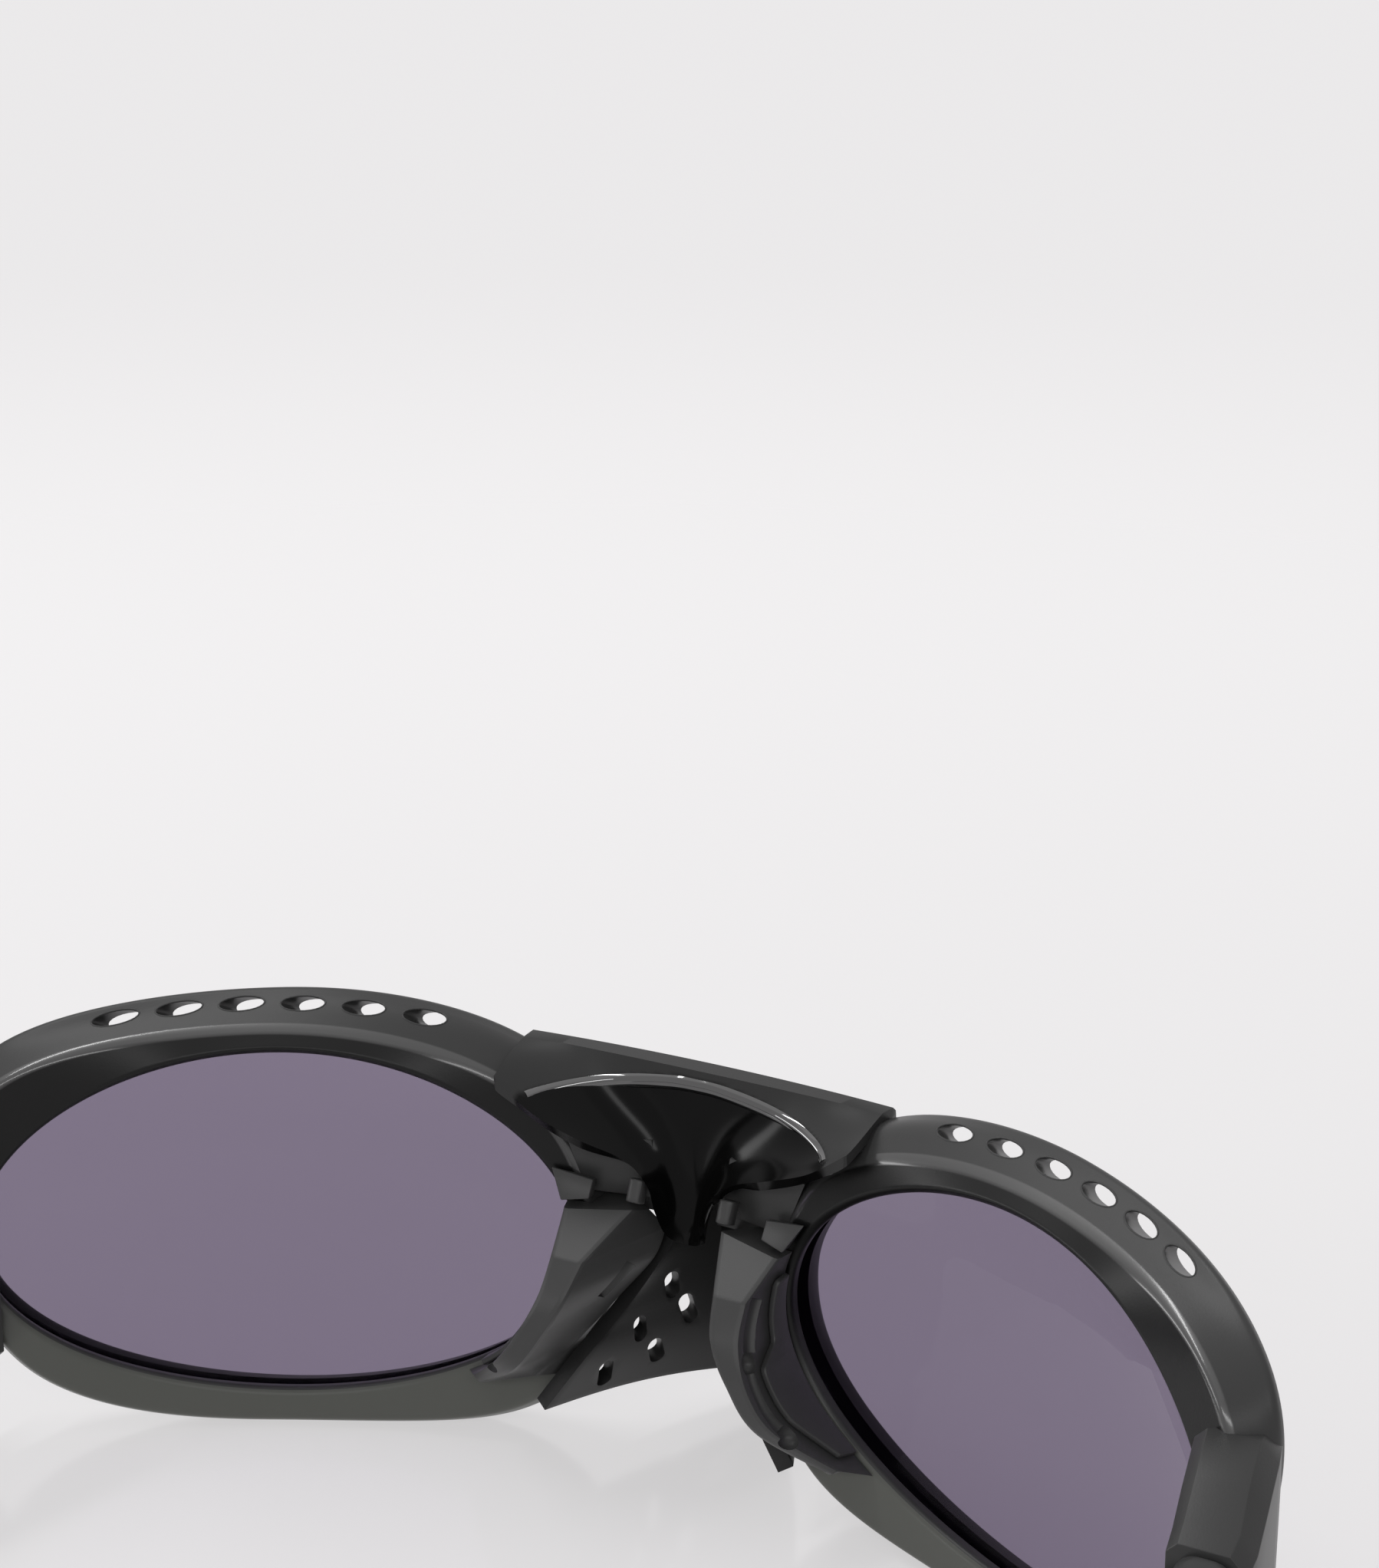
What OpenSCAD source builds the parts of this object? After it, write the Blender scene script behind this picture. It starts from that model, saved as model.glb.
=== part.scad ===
// Wrap sunglasses with oval lenses, brow vents, a saddle bridge cover and a nose shield.
// Millimetres. X runs across the face, Y from the bridge back to the ear tips, Z up.
// The pair stands open on its two rims and its two ear tips, with the floor at Z = 0.

/* [Lenses] */
// Distance between the two lens openings
lens_gap = 22.4; // [21:0.2:24]
// Length of a lens opening, measured along its curve
lens_w = 58; // [56:0.2:59.6]
// Height of a lens opening
lens_h = 34.8; // [33:0.2:37]
// Radius of the back surface of a lens
lens_r = 68; // [66:0.5:71]
// Thickness of a lens
lens_t = 2.2; // [1.8:0.1:2.6]
// Depth of the lens edge in its groove
groove = 1.2; // [0.8:0.1:1.5]
// Gap between a lens and its groove
seat_gap = 0.1; // [0.05:0.01:0.15]

/* [Front] */
// Height of the rim below the lens
rim_low = 3.75; // [3.2:0.05:4.2]
// Depth of the flat that each rim rests on
rest_flat = 0.3; // [0.2:0.05:0.4]
// Depth of the brow band from its crease to its front edge
brow_d = 5.4; // [4.5:0.1:6.5]
// Step of the lip behind the lens
lip = 1.5; // [1:0.1:1.8]
// Number of vent holes over each lens
vents = 6; // [3:1:6]
// Width of a vent hole
vent_w = 3.9; // [3:0.1:4.2]
// Height of a vent hole
vent_h = 1.6; // [1.2:0.1:1.9]
// Distance between vent holes along the brow
vent_pitch = 6.05; // [5:0.05:6.4]

/* [Bridge] */
// Width of the bridge cover along its top edge
cover_w = 36.8; // [34:0.2:39]
// Thickness of the bridge cover
cover_t = 1.1; // [0.8:0.1:1.4]
// Reach of the nose shield in front of the lens holes
shield_reach = 19; // [16:0.5:21]
// Thickness of the nose shield
shield_t = 1.5; // [1:0.1:1.8]
// Diameter of a shield hole
shield_hole = 1.6; // [1.2:0.1:2.2]

/* [Hinges] */
// Distance from the temple ends of the lens openings back to the hinge pins
hinge_back = 12.6; // [11.6:0.1:14]
// Length of the endpieces that carry the hinges
end_l = 14.2; // [13:0.2:16]
// Height of the endpieces and of the front ends of the arms
end_h = 19.6; // [18:0.2:21]
// Thickness of the arms at the hinges
arm_t = 6.5; // [6.1:0.1:6.9]
// Radius of a hinge screw
screw_r = 0.8; // [0.7:0.05:0.9]
// Running clearance round a hinge screw
screw_gap = 0.05; // [0.02:0.01:0.08]
// Radius of the hinge knuckles
knuckle_r = 1.7; // [1.6:0.05:1.8]
// Thickness of the hinge leaves
leaf_t = 1.1; // [0.9:0.05:1.3]
// Gap between parts that turn past each other
turn_gap = 0.45; // [0.4:0.05:0.6]

/* [Arms] */
// Length of the arms behind the hinge pins
arm_l = 106; // [98:1:112]
// Height of the ear ends
ear_h = 8.4; // [7.6:0.2:9]
// Wall of the rubber ear socks
sock_t = 1.1; // [0.9:0.05:1.2]
// Radius of the metal cores in the ear ends
core_r = 0.7; // [0.5:0.05:0.8]

/* [Hidden] */

// Lens sphere: middle angle of the opening, half angles towards the temple and the nose
half_gap = lens_gap / 2;
half_h = lens_h / 2;
deg = 180 / PI;
lens_in = 0.491 * lens_w / lens_r * deg;
lens_out = 0.509 * lens_w / lens_r * deg;
lens_from = 2.8;
lens_mid = lens_from + lens_in;
lens_up = asin(half_h / lens_r);
ctr_x = half_gap - lens_r * sin(lens_from);
ctr_y = lens_r - 1;
// Radii from the lens centre at which the rim's surfaces lie
r_under = lens_r + 1;
rim_angle = lens_up + (rim_low - 0.25) / lens_r * deg;
ctr_z = r_under * sin(rim_angle + 0.25 * deg / r_under) - rest_flat;

// Round counts
rim_n = 64;
lens_n = 56;

function lerp(a, b, f) = a + (b - a) * f;
function mod_list(v, i) = v[(i + 8 * len(v)) % len(v)];
function spline(a, b, c, d, f) =
    b + f * ((c - a) / 2 + f * ((a - 2.5 * b + 2 * c - d / 2) + f * (1.5 * (b - c) + (d - a) / 2)));
// Smooth value around a closed ring of keys, and along an open row of keys
function around(v, t) =
    let (u = t / 360 * len(v), i = floor(u))
    spline(mod_list(v, i - 1), mod_list(v, i), mod_list(v, i + 1), mod_list(v, i + 2), u - i);
function along(v, f) =
    let (n = len(v) - 1, u = min(f, 0.99999) * n, i = floor(u))
    spline(v[max(i - 1, 0)], v[i], v[i + 1], v[min(i + 2, n)], u - i);
function flat(rows) = [for (row = rows) for (p = row) p];
function mean(v) = [for (k = [0:2]) sum([for (p = v) p[k]]) / len(v)];
function sum(v, i = 0) = i >= len(v) ? 0 : v[i] + sum(v, i + 1);

// Point on the sphere round the lens centre, from its angles and radius
function on_lens(a, e, r) =
    [ctr_x + r * sin(a) * cos(e), ctr_y - r * cos(a) * cos(e), ctr_z + r * sin(e)];
// Point near the bridge: x in half gaps, y in millimetres, z in half lens heights from the middle
function at_nose(p) = [p[0] * half_gap, p[1], ctr_z + p[2] * half_h];

// Outline of the lens opening at turn t, grown by off millimetres
function lens_edge(t, off, r) =
    on_lens(lens_mid + ((cos(t) > 0 ? lens_out : lens_in) + off / r * deg) * cos(t),
            (lens_up + off / r * deg) * sin(t), r);
// Outer outline of the rim: a fuller oval, whose brow falls a little towards the temple
squareness = [2.2, 4, 3.2, 3, 2.4, 3.1, 2.5, 2.4];
brow_fall = 0.045;
function rim_edge(t, off, r) =
    let (p = around(squareness, t),
         q = pow(pow(abs(cos(t)), p) + pow(abs(sin(t)), p), -1 / p),
         w = (cos(t) > 0 ? lens_out + 1.9 : lens_in + 2.3) + off / r * deg,
         h = (sin(t) > 0 ? lens_up + 0.8 : rim_angle) + off / r * deg,
         a = lens_mid + w * q * cos(t))
    on_lens(a, h * q * sin(t) - brow_fall * max(0, sin(t)) * (a - lens_mid), r);

// Solid from points and faces, turned right side out
module solid(points, faces) {
    volume = [for (f = faces) cross(points[f[0]], points[f[1]]) * points[f[2]]] * [for (f = faces) 1];
    polyhedron(points, volume < 0 ? faces : [for (f = faces) [f[2], f[1], f[0]]], convexity = 8);
}
// Solid from a row of closed rings, capped at both ends or joined into a ring
module loft(rings, ring = false) {
    n = len(rings[0]);
    m = len(rings);
    caps = ring ? [] : [mean(rings[0]), mean(rings[m - 1])];
    points = concat(flat(rings), caps);
    sides = [for (i = [0:(ring ? m - 1 : m - 2)]) for (j = [0:n - 1])
        let (k = (j + 1) % n, i2 = (i + 1) % m)
        for (f = [[i * n + j, i2 * n + j, i2 * n + k], [i * n + j, i2 * n + k, i * n + k]]) f];
    ends = ring ? [] : [for (j = [0:n - 1]) let (k = (j + 1) % n)
        for (f = [[m * n, j, k], [m * n + 1, (m - 1) * n + k, (m - 1) * n + j]]) f];
    solid(points, concat(sides, ends));
}
// Solid between two grids of points of the same size; the first is the outer face
module sheet(front, back) {
    m = len(front);
    n = len(front[0]);
    k = m * n;
    function id(i, j) = i * n + j;
    outer = [for (i = [0:m - 2]) for (j = [0:n - 2])
        for (f = [[id(i, j), id(i + 1, j), id(i + 1, j + 1)], [id(i, j), id(i + 1, j + 1), id(i, j + 1)]]) f];
    inner = [for (f = outer) [k + f[2], k + f[1], k + f[0]]];
    rows = [for (j = [0:n - 2]) for (e = [[id(0, j), id(0, j + 1)], [id(m - 1, j + 1), id(m - 1, j)]]) e];
    cols = [for (i = [0:m - 2]) for (e = [[id(i + 1, 0), id(i, 0)], [id(i, n - 1), id(i + 1, n - 1)]]) e];
    rim = [for (e = concat(rows, cols))
        for (f = [[e[0], e[1], k + e[1]], [e[0], k + e[1], k + e[0]]]) f];
    solid(concat(flat(front), flat(back)), concat(outer, inner, rim));
}
module right_side() {
    mirror([1, 0, 0]) children();
}
// Everything is drawn with the bridge near Y = 0 and moved here so that the origin is in the middle
module placed() {
    translate([0, -(arm_tip_y + ear_h * 0.14 - shield_reach) / 2, 0]) children();
}

// Lens: its edge runs less deep in the groove at the brow, where the rim is thin
edge_share = [1, 0.8, 0.4, 0.75, 1, 1, 1, 1];
function lens_rings(more, r0, r1) =
    [for (layer = [[0.12, r0], [0.4, r0], [0.7, r0], [1, r0], [1, r1], [0.7, r1], [0.4, r1], [0.12, r1]])
        [for (j = [0:lens_n - 1])
            let (t = 360 * j / lens_n, off = (groove * around(edge_share, t) + more) / layer[1] * deg,
                 a = lens_mid + ((cos(t) > 0 ? lens_out : lens_in) + off) * cos(t) * layer[0],
                 b = (lens_up + off) * sin(t) * layer[0])
            on_lens(a, b, layer[1])]];
module lens() {
    color([0.49, 0.45, 0.52, 0.8]) loft(lens_rings(0, lens_r, lens_r + lens_t));
}

// Front frame: radii beyond the lens's back surface at eight turns of the rim, from the temple
crease_r = [0, 0.6, 1, 0, -1.2, -1.4, -1.4, -1.2];
under_off = [-0.4, 0.7, 1.2, -0.2, 0.3, 0.25, 0.25, 0.2];
front_off = [-3, 0.9, 1.3, -1.1, -1, -0.8, -1.5, -2.2];
under_r = [3.3, 3.5, 4.4, 3.5, 2, 1, 1, 1.7];
// The same for the front edge and the front of the bezel, as shares of the brow's depth
front_share = [0.72, 1.08, 1.33, 1.3, 1.19, 1.11, 0.87, 0.72];
bezel_share = [0.62, 0.85, 1.13, 1.04, 0.87, 0.81, 0.74, 0.64];
bevel_off = [0.6, 0.7, 0.9, 0.7, 0.6, 0.6, 0.6, 0.6];
lip_share = [1, 0.9, 0.6, 0.9, 1, 1, 1, 1];
crease_off = [-0.3, 0.6, 0.8, -1.5, -0.6, -0.4, -0.4, -0.4];
bezel_off = [-1.1, -0.7, -0.9, -0.3, 0.2, 0.1, 0, -0.5];
function rim_ring(t) =
    let (rc = lens_r + around(crease_r, t), rm = lens_r + around(under_r, t),
         rf = lens_r + brow_d * around(front_share, t), ra = lens_r - seat_gap,
         rb = lens_r + lens_t + seat_gap, g = groove * around(edge_share, t) + seat_gap,
         c = around(crease_off, t), f = around(front_off, t), z = around(bezel_off, t),
         w = around(bevel_off, t), h = lens_r - lip * around(lip_share, t),
         rz = lens_r + brow_d * around(bezel_share, t))
    [lens_edge(t, 0, ra), lens_edge(t, 0, h + 0.4), lens_edge(t, w, h),
     rim_edge(t, c - 0.2, rc - 0.2), rim_edge(t, c + 0.2, rc + 0.2),
     rim_edge(t, around(under_off, t), rm), rim_edge(t, f, rf - 0.6), rim_edge(t, f - 0.8, rf),
     lens_edge(t, z, rz), lens_edge(t, min(0, z) * 0.8, rb + min(0.9, (rz - rb) / 2)), lens_edge(t, 0, rb),
     lens_edge(t, g, rb), lens_edge(t, g, ra)];
module rim() {
    loft([for (i = [0:rim_n - 1]) rim_ring(360 * i / rim_n)], ring = true);
}

// Hinge place, from the temple end of the lens opening
end_x = on_lens(lens_mid + lens_out, 0, lens_r)[0];
pin_x = end_x - 0.4;
pin_y = on_lens(lens_mid + lens_out, 0, lens_r)[1] + hinge_back;
end_y = pin_y - 1;
arm_y = end_y + turn_gap;
arm_in = pin_x - 0.3;
end_z = ctr_z - 1.4;
end_lo = end_z - end_h / 2;
end_hi = end_z + end_h / 2;
// Ring with cut corners in a plane of constant Y
function end_ring(y, xi, xo, lo, hi, c) =
    [[xi + c, y, lo], [xi, y, lo + c], [xi, y, hi - c], [xi + c, y, hi], [xo - 1.6 * c, y, hi],
     [xo, y, hi - 1.6 * c], [xo, y, lo + 1.6 * c], [xo - 1.6 * c, y, lo]];
module endpiece() {
    xo = arm_in + arm_t;
    loft([end_ring(end_y - end_l, end_x + 1, end_x + 3.4, end_lo - 1, end_hi + 3.4, 0.7),
          end_ring(end_y - 0.78 * end_l, end_x - 2.8, end_x + 4.2, end_lo - 0.8, end_hi + 3.8, 1),
          end_ring(end_y - 0.45 * end_l, end_x - 2, xo - 0.8, end_lo - 0.4, end_hi + 2, 1),
          end_ring(end_y - 0.17 * end_l, end_x - 1.2, xo - 0.1, end_lo, end_hi + 0.6, 0.9),
          end_ring(end_y, end_x - 0.8, xo, end_lo + 0.3, end_hi, 0.9)]);
}
// Recess for the hinge leaf in the back of the endpiece, and the clearance round the knuckles
pocket_x = pin_x + 0.5;
pocket_w = arm_t - 2;
pocket_d = 5.5;
knuckle_h = 4;
knuckle_gap = 0.15;
barrel_h = 3 * knuckle_h + 2 * knuckle_gap;
barrel_lo = end_z - barrel_h / 2;
module hinge_room() {
    translate([pocket_x - 0.2, end_y - pocket_d, barrel_lo - 0.6])
        cube([pocket_w, pocket_d + 1, barrel_h + 1.2]);
    translate([pin_x, pin_y, barrel_lo - 0.6])
        cylinder(r = knuckle_r + turn_gap, h = barrel_h + 1.2, $fn = 32);
}

// Vent holes: ovals along the crown of the brow band, running forwards and down to the front face
vent_tilt = 28;
vent_first = -11;
vent_rise = 1.75;
vent_fall = 0.0056;
vent_l = 14;
function vent_place(i) =
    let (r = lens_r + 0.78 * brow_d, a = vent_first + i * vent_pitch / r * deg)
    on_lens(lens_mid + a, lens_up + vent_rise - vent_fall * pow(a - 1, 2), r);
module vent_holes() {
    for (i = [0:vents - 1]) {
        v = vent_place(i + 0.1) - vent_place(i - 0.1);
        turn = atan2(v * [0, -sin(vent_tilt), cos(vent_tilt)], v[0]);
        translate(vent_place(i)) rotate([90 + vent_tilt, 0, 0]) rotate(turn)
            linear_extrude(vent_l, center = true)
                polygon([for (j = [0:17]) [vent_w / 2 * cos(20 * j), vent_h / 2 * sin(20 * j)]]);
    }
}

// Bridge cover: rows from the front lower edge over the top to the lip, columns across
cover_k = cover_w / 2 / half_gap;
lip_line = [[0, -1, 0.115], [0.15, 0, 0.17], [0.205, 1.2, 0.33], [0.29, 1, 0.47], [0.5, 1, 0.585],
            [0.85, 2.9, 0.705], [1.25, 3.4, 0.815], [cover_k * 0.968, 3.3, 0.97]];
lip_turn = [0, 0.1, 0.2, 0.32, 0.46, 0.64, 0.82, 1];
function lip_at(s) =
    let (i = max([for (k = [0:6]) s >= lip_turn[k] ? k : 0]),
         f = (s - lip_turn[i]) / (lip_turn[i + 1] - lip_turn[i]))
    spline(lip_line[max(i - 1, 0)], lip_line[i], lip_line[i + 1], lip_line[min(i + 2, 7)], f);
function cover_profile(s) =
    let (b = at_nose(lip_at(s)), x = s * cover_w / 2,
         drop = 1 - s * s,
         front = at_nose([0, 0, lerp(0.93, 0.5, drop)]),
         top = at_nose([0, 0, 1.044 + 0.02 * drop]),
         f0 = [lerp(x, b[0], 0.35), lerp(-6.2, -8.9, drop), front[2]],
         t0 = [x, -5.6 - 0.25 * drop, top[2]],
         t1 = [x * 0.99, -3.2 + 0.3 * drop, top[2] + 0.15],
         m0 = [lerp(x, b[0], 0.3), lerp(0.2, -3.2, drop), lerp(top[2] - 0.3, b[2], 0.28 * drop)],
         m1 = [lerp(x, b[0], 0.75), lerp(2.2, -3.4, drop), lerp(top[2] - 0.8, b[2], 0.72)])
    [f0, lerp(f0, t0, 0.5), t0 - [0, 0, 0.5], t0 + [0, 0.6, 0], t1,
     for (k = [1:7]) let (f = k / 7, g = 1 - f)
        g * g * g * t1 + 3 * g * g * f * m0 + 3 * g * f * f * m1 + f * f * f * b];
// Profile moved inwards by d
function inset(row, d) =
    [for (i = [0:len(row) - 1])
        let (a = row[max(i - 1, 0)], b = row[min(i + 1, len(row) - 1)], v = b - a,
             w = [0, v[2], -v[1]], l = max(norm(w), 0.01))
        row[i] + w / l * d];
cover_n = 16;
cover_reach = 1 + 2 * seat_gap / cover_w;
function cover_rows(d, reach = 1) =
    [for (i = [-cover_n:cover_n])
        let (s = reach * abs(i) / cover_n, row = inset(cover_profile(s), d))
        [for (p = row) [i < 0 ? -p[0] : p[0], p[1], p[2]]]];
module bridge_cover() {
    color([0.08, 0.08, 0.08]) placed() sheet(cover_rows(0), cover_rows(cover_t));
}
// Core of the bridge under the cover, between the two rims
module bridge_core() {
    rows = cover_rows(cover_t + seat_gap);
    loft([for (row = rows) [for (i = [0:8]) row[i]]]);
}
// Room for the lens in the endpiece, a little deeper than the groove in the rim
module lens_room() {
    g = seat_gap + 0.06;
    loft(lens_rings(g, lens_r - g, lens_r + lens_t + g));
}
// Web that closes the corner between the rim and the cover, above the nose pad
module bridge_web() {
    loft([[for (p = [[0.26, -3.4], [0.26, -1.7], [0.9, -0.1], [0.87, -3.3]]) at_nose([p[0], p[1], 0.332])],
          [for (p = [[0.36, -3.4], [0.36, -1.4], [1.1, 0.2], [1.05, -3.2]]) at_nose([p[0], p[1], 0.66])]]);
}
module front_half() {
    difference() {
        union() {
            rim();
            bridge_web();
        }
        vent_holes();
        sheet(cover_rows(-0.6, cover_reach), cover_rows(cover_t + seat_gap, cover_reach));
        translate([0, -lens_r, -end_h]) cube([2 * lens_r, 2 * lens_r, end_h]);
    }
    difference() {
        endpiece();
        lens_room();
        hinge_room();
        front_screws(screw_r);
    }
}
module front_frame() {
    color([0.27, 0.27, 0.27]) placed() {
        front_half();
        right_side() front_half();
        bridge_core();
    }
}

// Nose shield: rows from the bridge down, columns from the left back edge over the ridge
shield_edge = [[0.3, -3.9, 0.13], [0.6, -2.8, -0.21], [0.75, -0.2, -0.39], [0.88, 3, -0.54], [1.19, 4, -0.85]];
shield_ridge = [[0, -8.6, 0.46], [0, -12.5, -0.1], [0, -16.6, -0.7], [0, -shield_reach, -1.01]];
shield_bulge = 1.2;
function wing_at(s, w) =
    let (r = at_nose(along(shield_ridge, w)), e = at_nose(along(shield_edge, w)), a = abs(s),
         f = sqrt(a * a + 0.006) - 0.0775 * (1 - a), g = min(f, 1),
         p = lerp(r, e, g), b = shield_bulge * sin(180 * g) * (0.35 + 0.65 * w))
    [sign(s) * (p[0] + 0.8 * b), p[1] - 0.43 * b, p[2] + 0.42 * b];
wing_normal = [0.797, -0.435, 0.42];
shield_m = 10;
shield_n = 12;
function shield_grid(d) =
    [for (i = [0:shield_m]) [for (j = [-shield_n:shield_n])
        let (s = j / shield_n, p = wing_at(s, i / shield_m), k = min(1, abs(s) * 5),
             n = [wing_normal[0] * k * sign(s), -sqrt(1 - pow(0.797 * k, 2)) * 0.72, 0.42])
        p - n * d]];
// Holes of one wing: how far from the ridge and how far down
shield_holes = [[0.64, 0.39], [0.76, 0.61], [0.81, 0.86], [0.5, 0.55], [0.61, 0.79]];
module wing_holes() {
    for (h = shield_holes) {
        p = wing_at(h[0], h[1]);
        q = wing_at(h[0] + 0.045, h[1] - 0.085);
        v = q - p;
        for (k = [-0.5, 0.5]) translate(p + v * k)
            rotate([acos(wing_normal[2]), 0, 90 + atan2(wing_normal[1], wing_normal[0])])
                cylinder(d = shield_hole, h = 5, center = true, $fn = 16);
    }
}
module nose_shield() {
    color([0.16, 0.16, 0.16]) placed() difference() {
        sheet(shield_grid(0), shield_grid(shield_t));
        wing_holes();
        right_side() wing_holes();
    }
}

// Nose pads: ridges on the lens side and the nose side, and the edge along the shield, from the top down
pad_outer = [[0.98, 2.8, 0.28], [0.893, 7.1, 0.124], [0.92, 9.1, -0.06], [1.06, 10.4, -0.27],
             [1.28, 10, -0.47], [1.68, 6.4, -0.72]];
pad_inner = [[0.4, 1.4, 0.32], [0.593, 7.1, 0.124], [0.67, 9.4, -0.06], [0.84, 10.1, -0.27],
             [1.11, 9.9, -0.51], [1.62, 6.4, -0.76]];
pad_front = [[0.38, -1.6, 0.25], [0.29, -3, 0.13], [0.38, -2.6, -0.05], [0.63, -1.4, -0.27],
             [0.87, 2.6, -0.49], [1.15, 4.6, -0.69]];
// The pad has a sharp break a fifth of the way down
pad_break = 0.2;
function pad_key(v, f) =
    at_nose(f < pad_break ? lerp(v[0], v[1], f / pad_break)
                          : along([for (i = [1:5]) v[i]], (f - pad_break) / (1 - pad_break)));
// Section of a pad: on the rim beside the lens, over the two ridges, to the shield, and back along the rim
function pad_ring(f) =
    let (t = 164 + 36 * f + 32 * f * f, u = 166 + 48 * f, k = min(max(5 * f - 3, 0), 0.98),
         b = rim_edge(u, around(crease_off, u) + 0.25, lens_r + around(crease_r, u) - 0.25),
         w = rim_edge(u, around(under_off, u) + 0.2, lens_r + around(under_r, u)))
    [lens_edge(t, around(bevel_off, t) + seat_gap, lens_r - lip * around(lip_share, t) - seat_gap),
     pad_key(pad_outer, f), pad_key(pad_inner, f), pad_key(pad_front, f), lerp(w, b, k), b];
pad_n = 16;
module nose_pad() {
    color([0.24, 0.24, 0.24]) placed() loft([for (i = [0:pad_n]) pad_ring(i / pad_n)]);
}
module bar(spine, half, steps, n) {
    loft([for (i = [0:steps])
        let (f = i / steps, c = at_nose(along(spine, f)), h = along(half, f),
             d = at_nose(along(spine, min(f + 0.04, 1))) - at_nose(along(spine, max(f - 0.04, 0))),
             t = d / norm(d), y = [0, 1, 0], s = cross(y, t) / norm(cross(y, t)), u = cross(t, s))
        [for (j = [0:n - 1]) let (a = 360 * (j + 0.5) / n, q = pow(pow(abs(cos(a)), 3) + pow(abs(sin(a)), 3), -1 / 3))
            c + s * h[0] * q * cos(a) + u * h[1] * q * sin(a)]]);
}
// Arms: a centre line, its half thickness and half height, from the hinge to the ear tip
arm_tip_y = pin_y + arm_l;
arm_mid = arm_in + arm_t / 2;
arm_line = [[arm_mid, arm_y - 0.8, end_z], [arm_mid + 0.9, arm_y + 0.15 * arm_l, end_z + 0.6],
            [arm_mid + 0.8, arm_y + 0.32 * arm_l, end_z + 1.3], [arm_mid - 0.8, arm_y + 0.5 * arm_l, end_z + 1.4],
            [arm_mid - 3.2, arm_y + 0.66 * arm_l, end_z - 0.2], [arm_mid - 6, arm_y + 0.79 * arm_l, end_z * 0.76],
            [arm_mid - 9, arm_y + 0.9 * arm_l, end_z * 0.46], [arm_mid - 11.4, arm_tip_y, ear_h * 0.29]];
arm_half = [[arm_t / 2, end_h / 2 - 0.3], [arm_t / 2 - 0.4, end_h * 0.41], [2.4, end_h * 0.34],
            [2.15, end_h * 0.285], [2.1, ear_h * 0.56], [2.3, ear_h * 0.52], [2.6, ear_h / 2], [2.2, ear_h * 0.42]];
function arm_frame(f) =
    let (d = along(arm_line, min(f + 0.01, 1)) - along(arm_line, max(f - 0.01, 0)), t = d / norm(d),
         z = [0, 0, 1], s = cross(t, z) / norm(cross(t, z)))
    [along(arm_line, f), s, cross(s, t)];
function arm_ring(f, shrink, power, n, scale = 1) =
    let (c = arm_frame(f), h = along(arm_half, f))
    [for (j = [0:n - 1]) let (a = 360 * (j + 0.5) / n,
        q = pow(pow(abs(cos(a)), power) + pow(abs(sin(a)), power), -1 / power))
        c[0] + c[1] * (h[0] - shrink) * scale * q * cos(a) + c[2] * (h[1] - shrink) * scale * q * sin(a)];
sock_from = 0.72;
tang_to = 0.95;
core_from = 0.62;
core_to = 0.93;
function part(a, b, i, n) = a + (b - a) * i / n;
module arm_body(a, b, shrink, steps) {
    loft([for (i = [0:steps]) arm_ring(part(a, b, i, steps), shrink, 3.4, 16)]);
}
module temple_arm() {
    color([0.25, 0.25, 0.25]) placed() difference() {
        union() {
            arm_body(0, sock_from, 0, 16);
            arm_body(sock_from - 0.02, tang_to, sock_t, 8);
        }
        translate([arm_in - 5, arm_y - 10, 0]) cube([arm_t + 10, 10, end_hi + 10]);
        hinge_room();
        leaf_bed();
        arm_screws(screw_r);
        liner_bed(seat_gap);
        core(core_r + seat_gap, 0.008);
    }
}
module core(r, more) {
    loft([for (i = [0:10]) let (f = part(core_from - more, core_to + 4 * more, i, 10), c = arm_frame(f))
        [for (j = [0:7]) c[0] + r * (c[1] * cos(45 * j) + c[2] * sin(45 * j))]]);
}
module temple_core() {
    color([0.7, 0.7, 0.72]) placed() core(core_r, 0);
}
module ear_sock() {
    color([0.2, 0.2, 0.2]) placed() difference() {
        loft([for (k = [[sock_from + 0.003, 0, 1], [0.78, 0, 1], [0.84, 0, 1], [0.9, 0, 1], [0.95, 0, 1],
                        [0.98, 0, 0.95], [0.993, 0, 0.78], [1, 0, 0.4]])
            arm_ring(k[0], k[1], 3, 16, k[2])]);
        arm_body(sock_from - 0.04, tang_to + 0.003, sock_t - seat_gap, 8);
    }
}
// Soft strip let into the inner face of the arm
liner_from = 0.3;
liner_to = 0.62;
liner_t = 0.8;
module liner_bed(grow) {
    loft([for (i = [0:8])
        let (f = part(liner_from, liner_to, i, 8), c = arm_frame(f), h = along(arm_half, f),
             x0 = -(h[0] + 0.4), x1 = -(h[0] - liner_t - grow), z = h[1] * 0.52 + grow)
        [for (q = [[x0, -z], [x0, z], [x1, z], [x1, -z]]) c[0] + c[1] * q[0] + c[2] * q[1]]]);
}
module temple_liner() {
    color([0.15, 0.15, 0.15]) placed() intersection() {
        liner_bed(0);
        arm_body(0.2, sock_from, 0, 14);
    }
}

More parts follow.
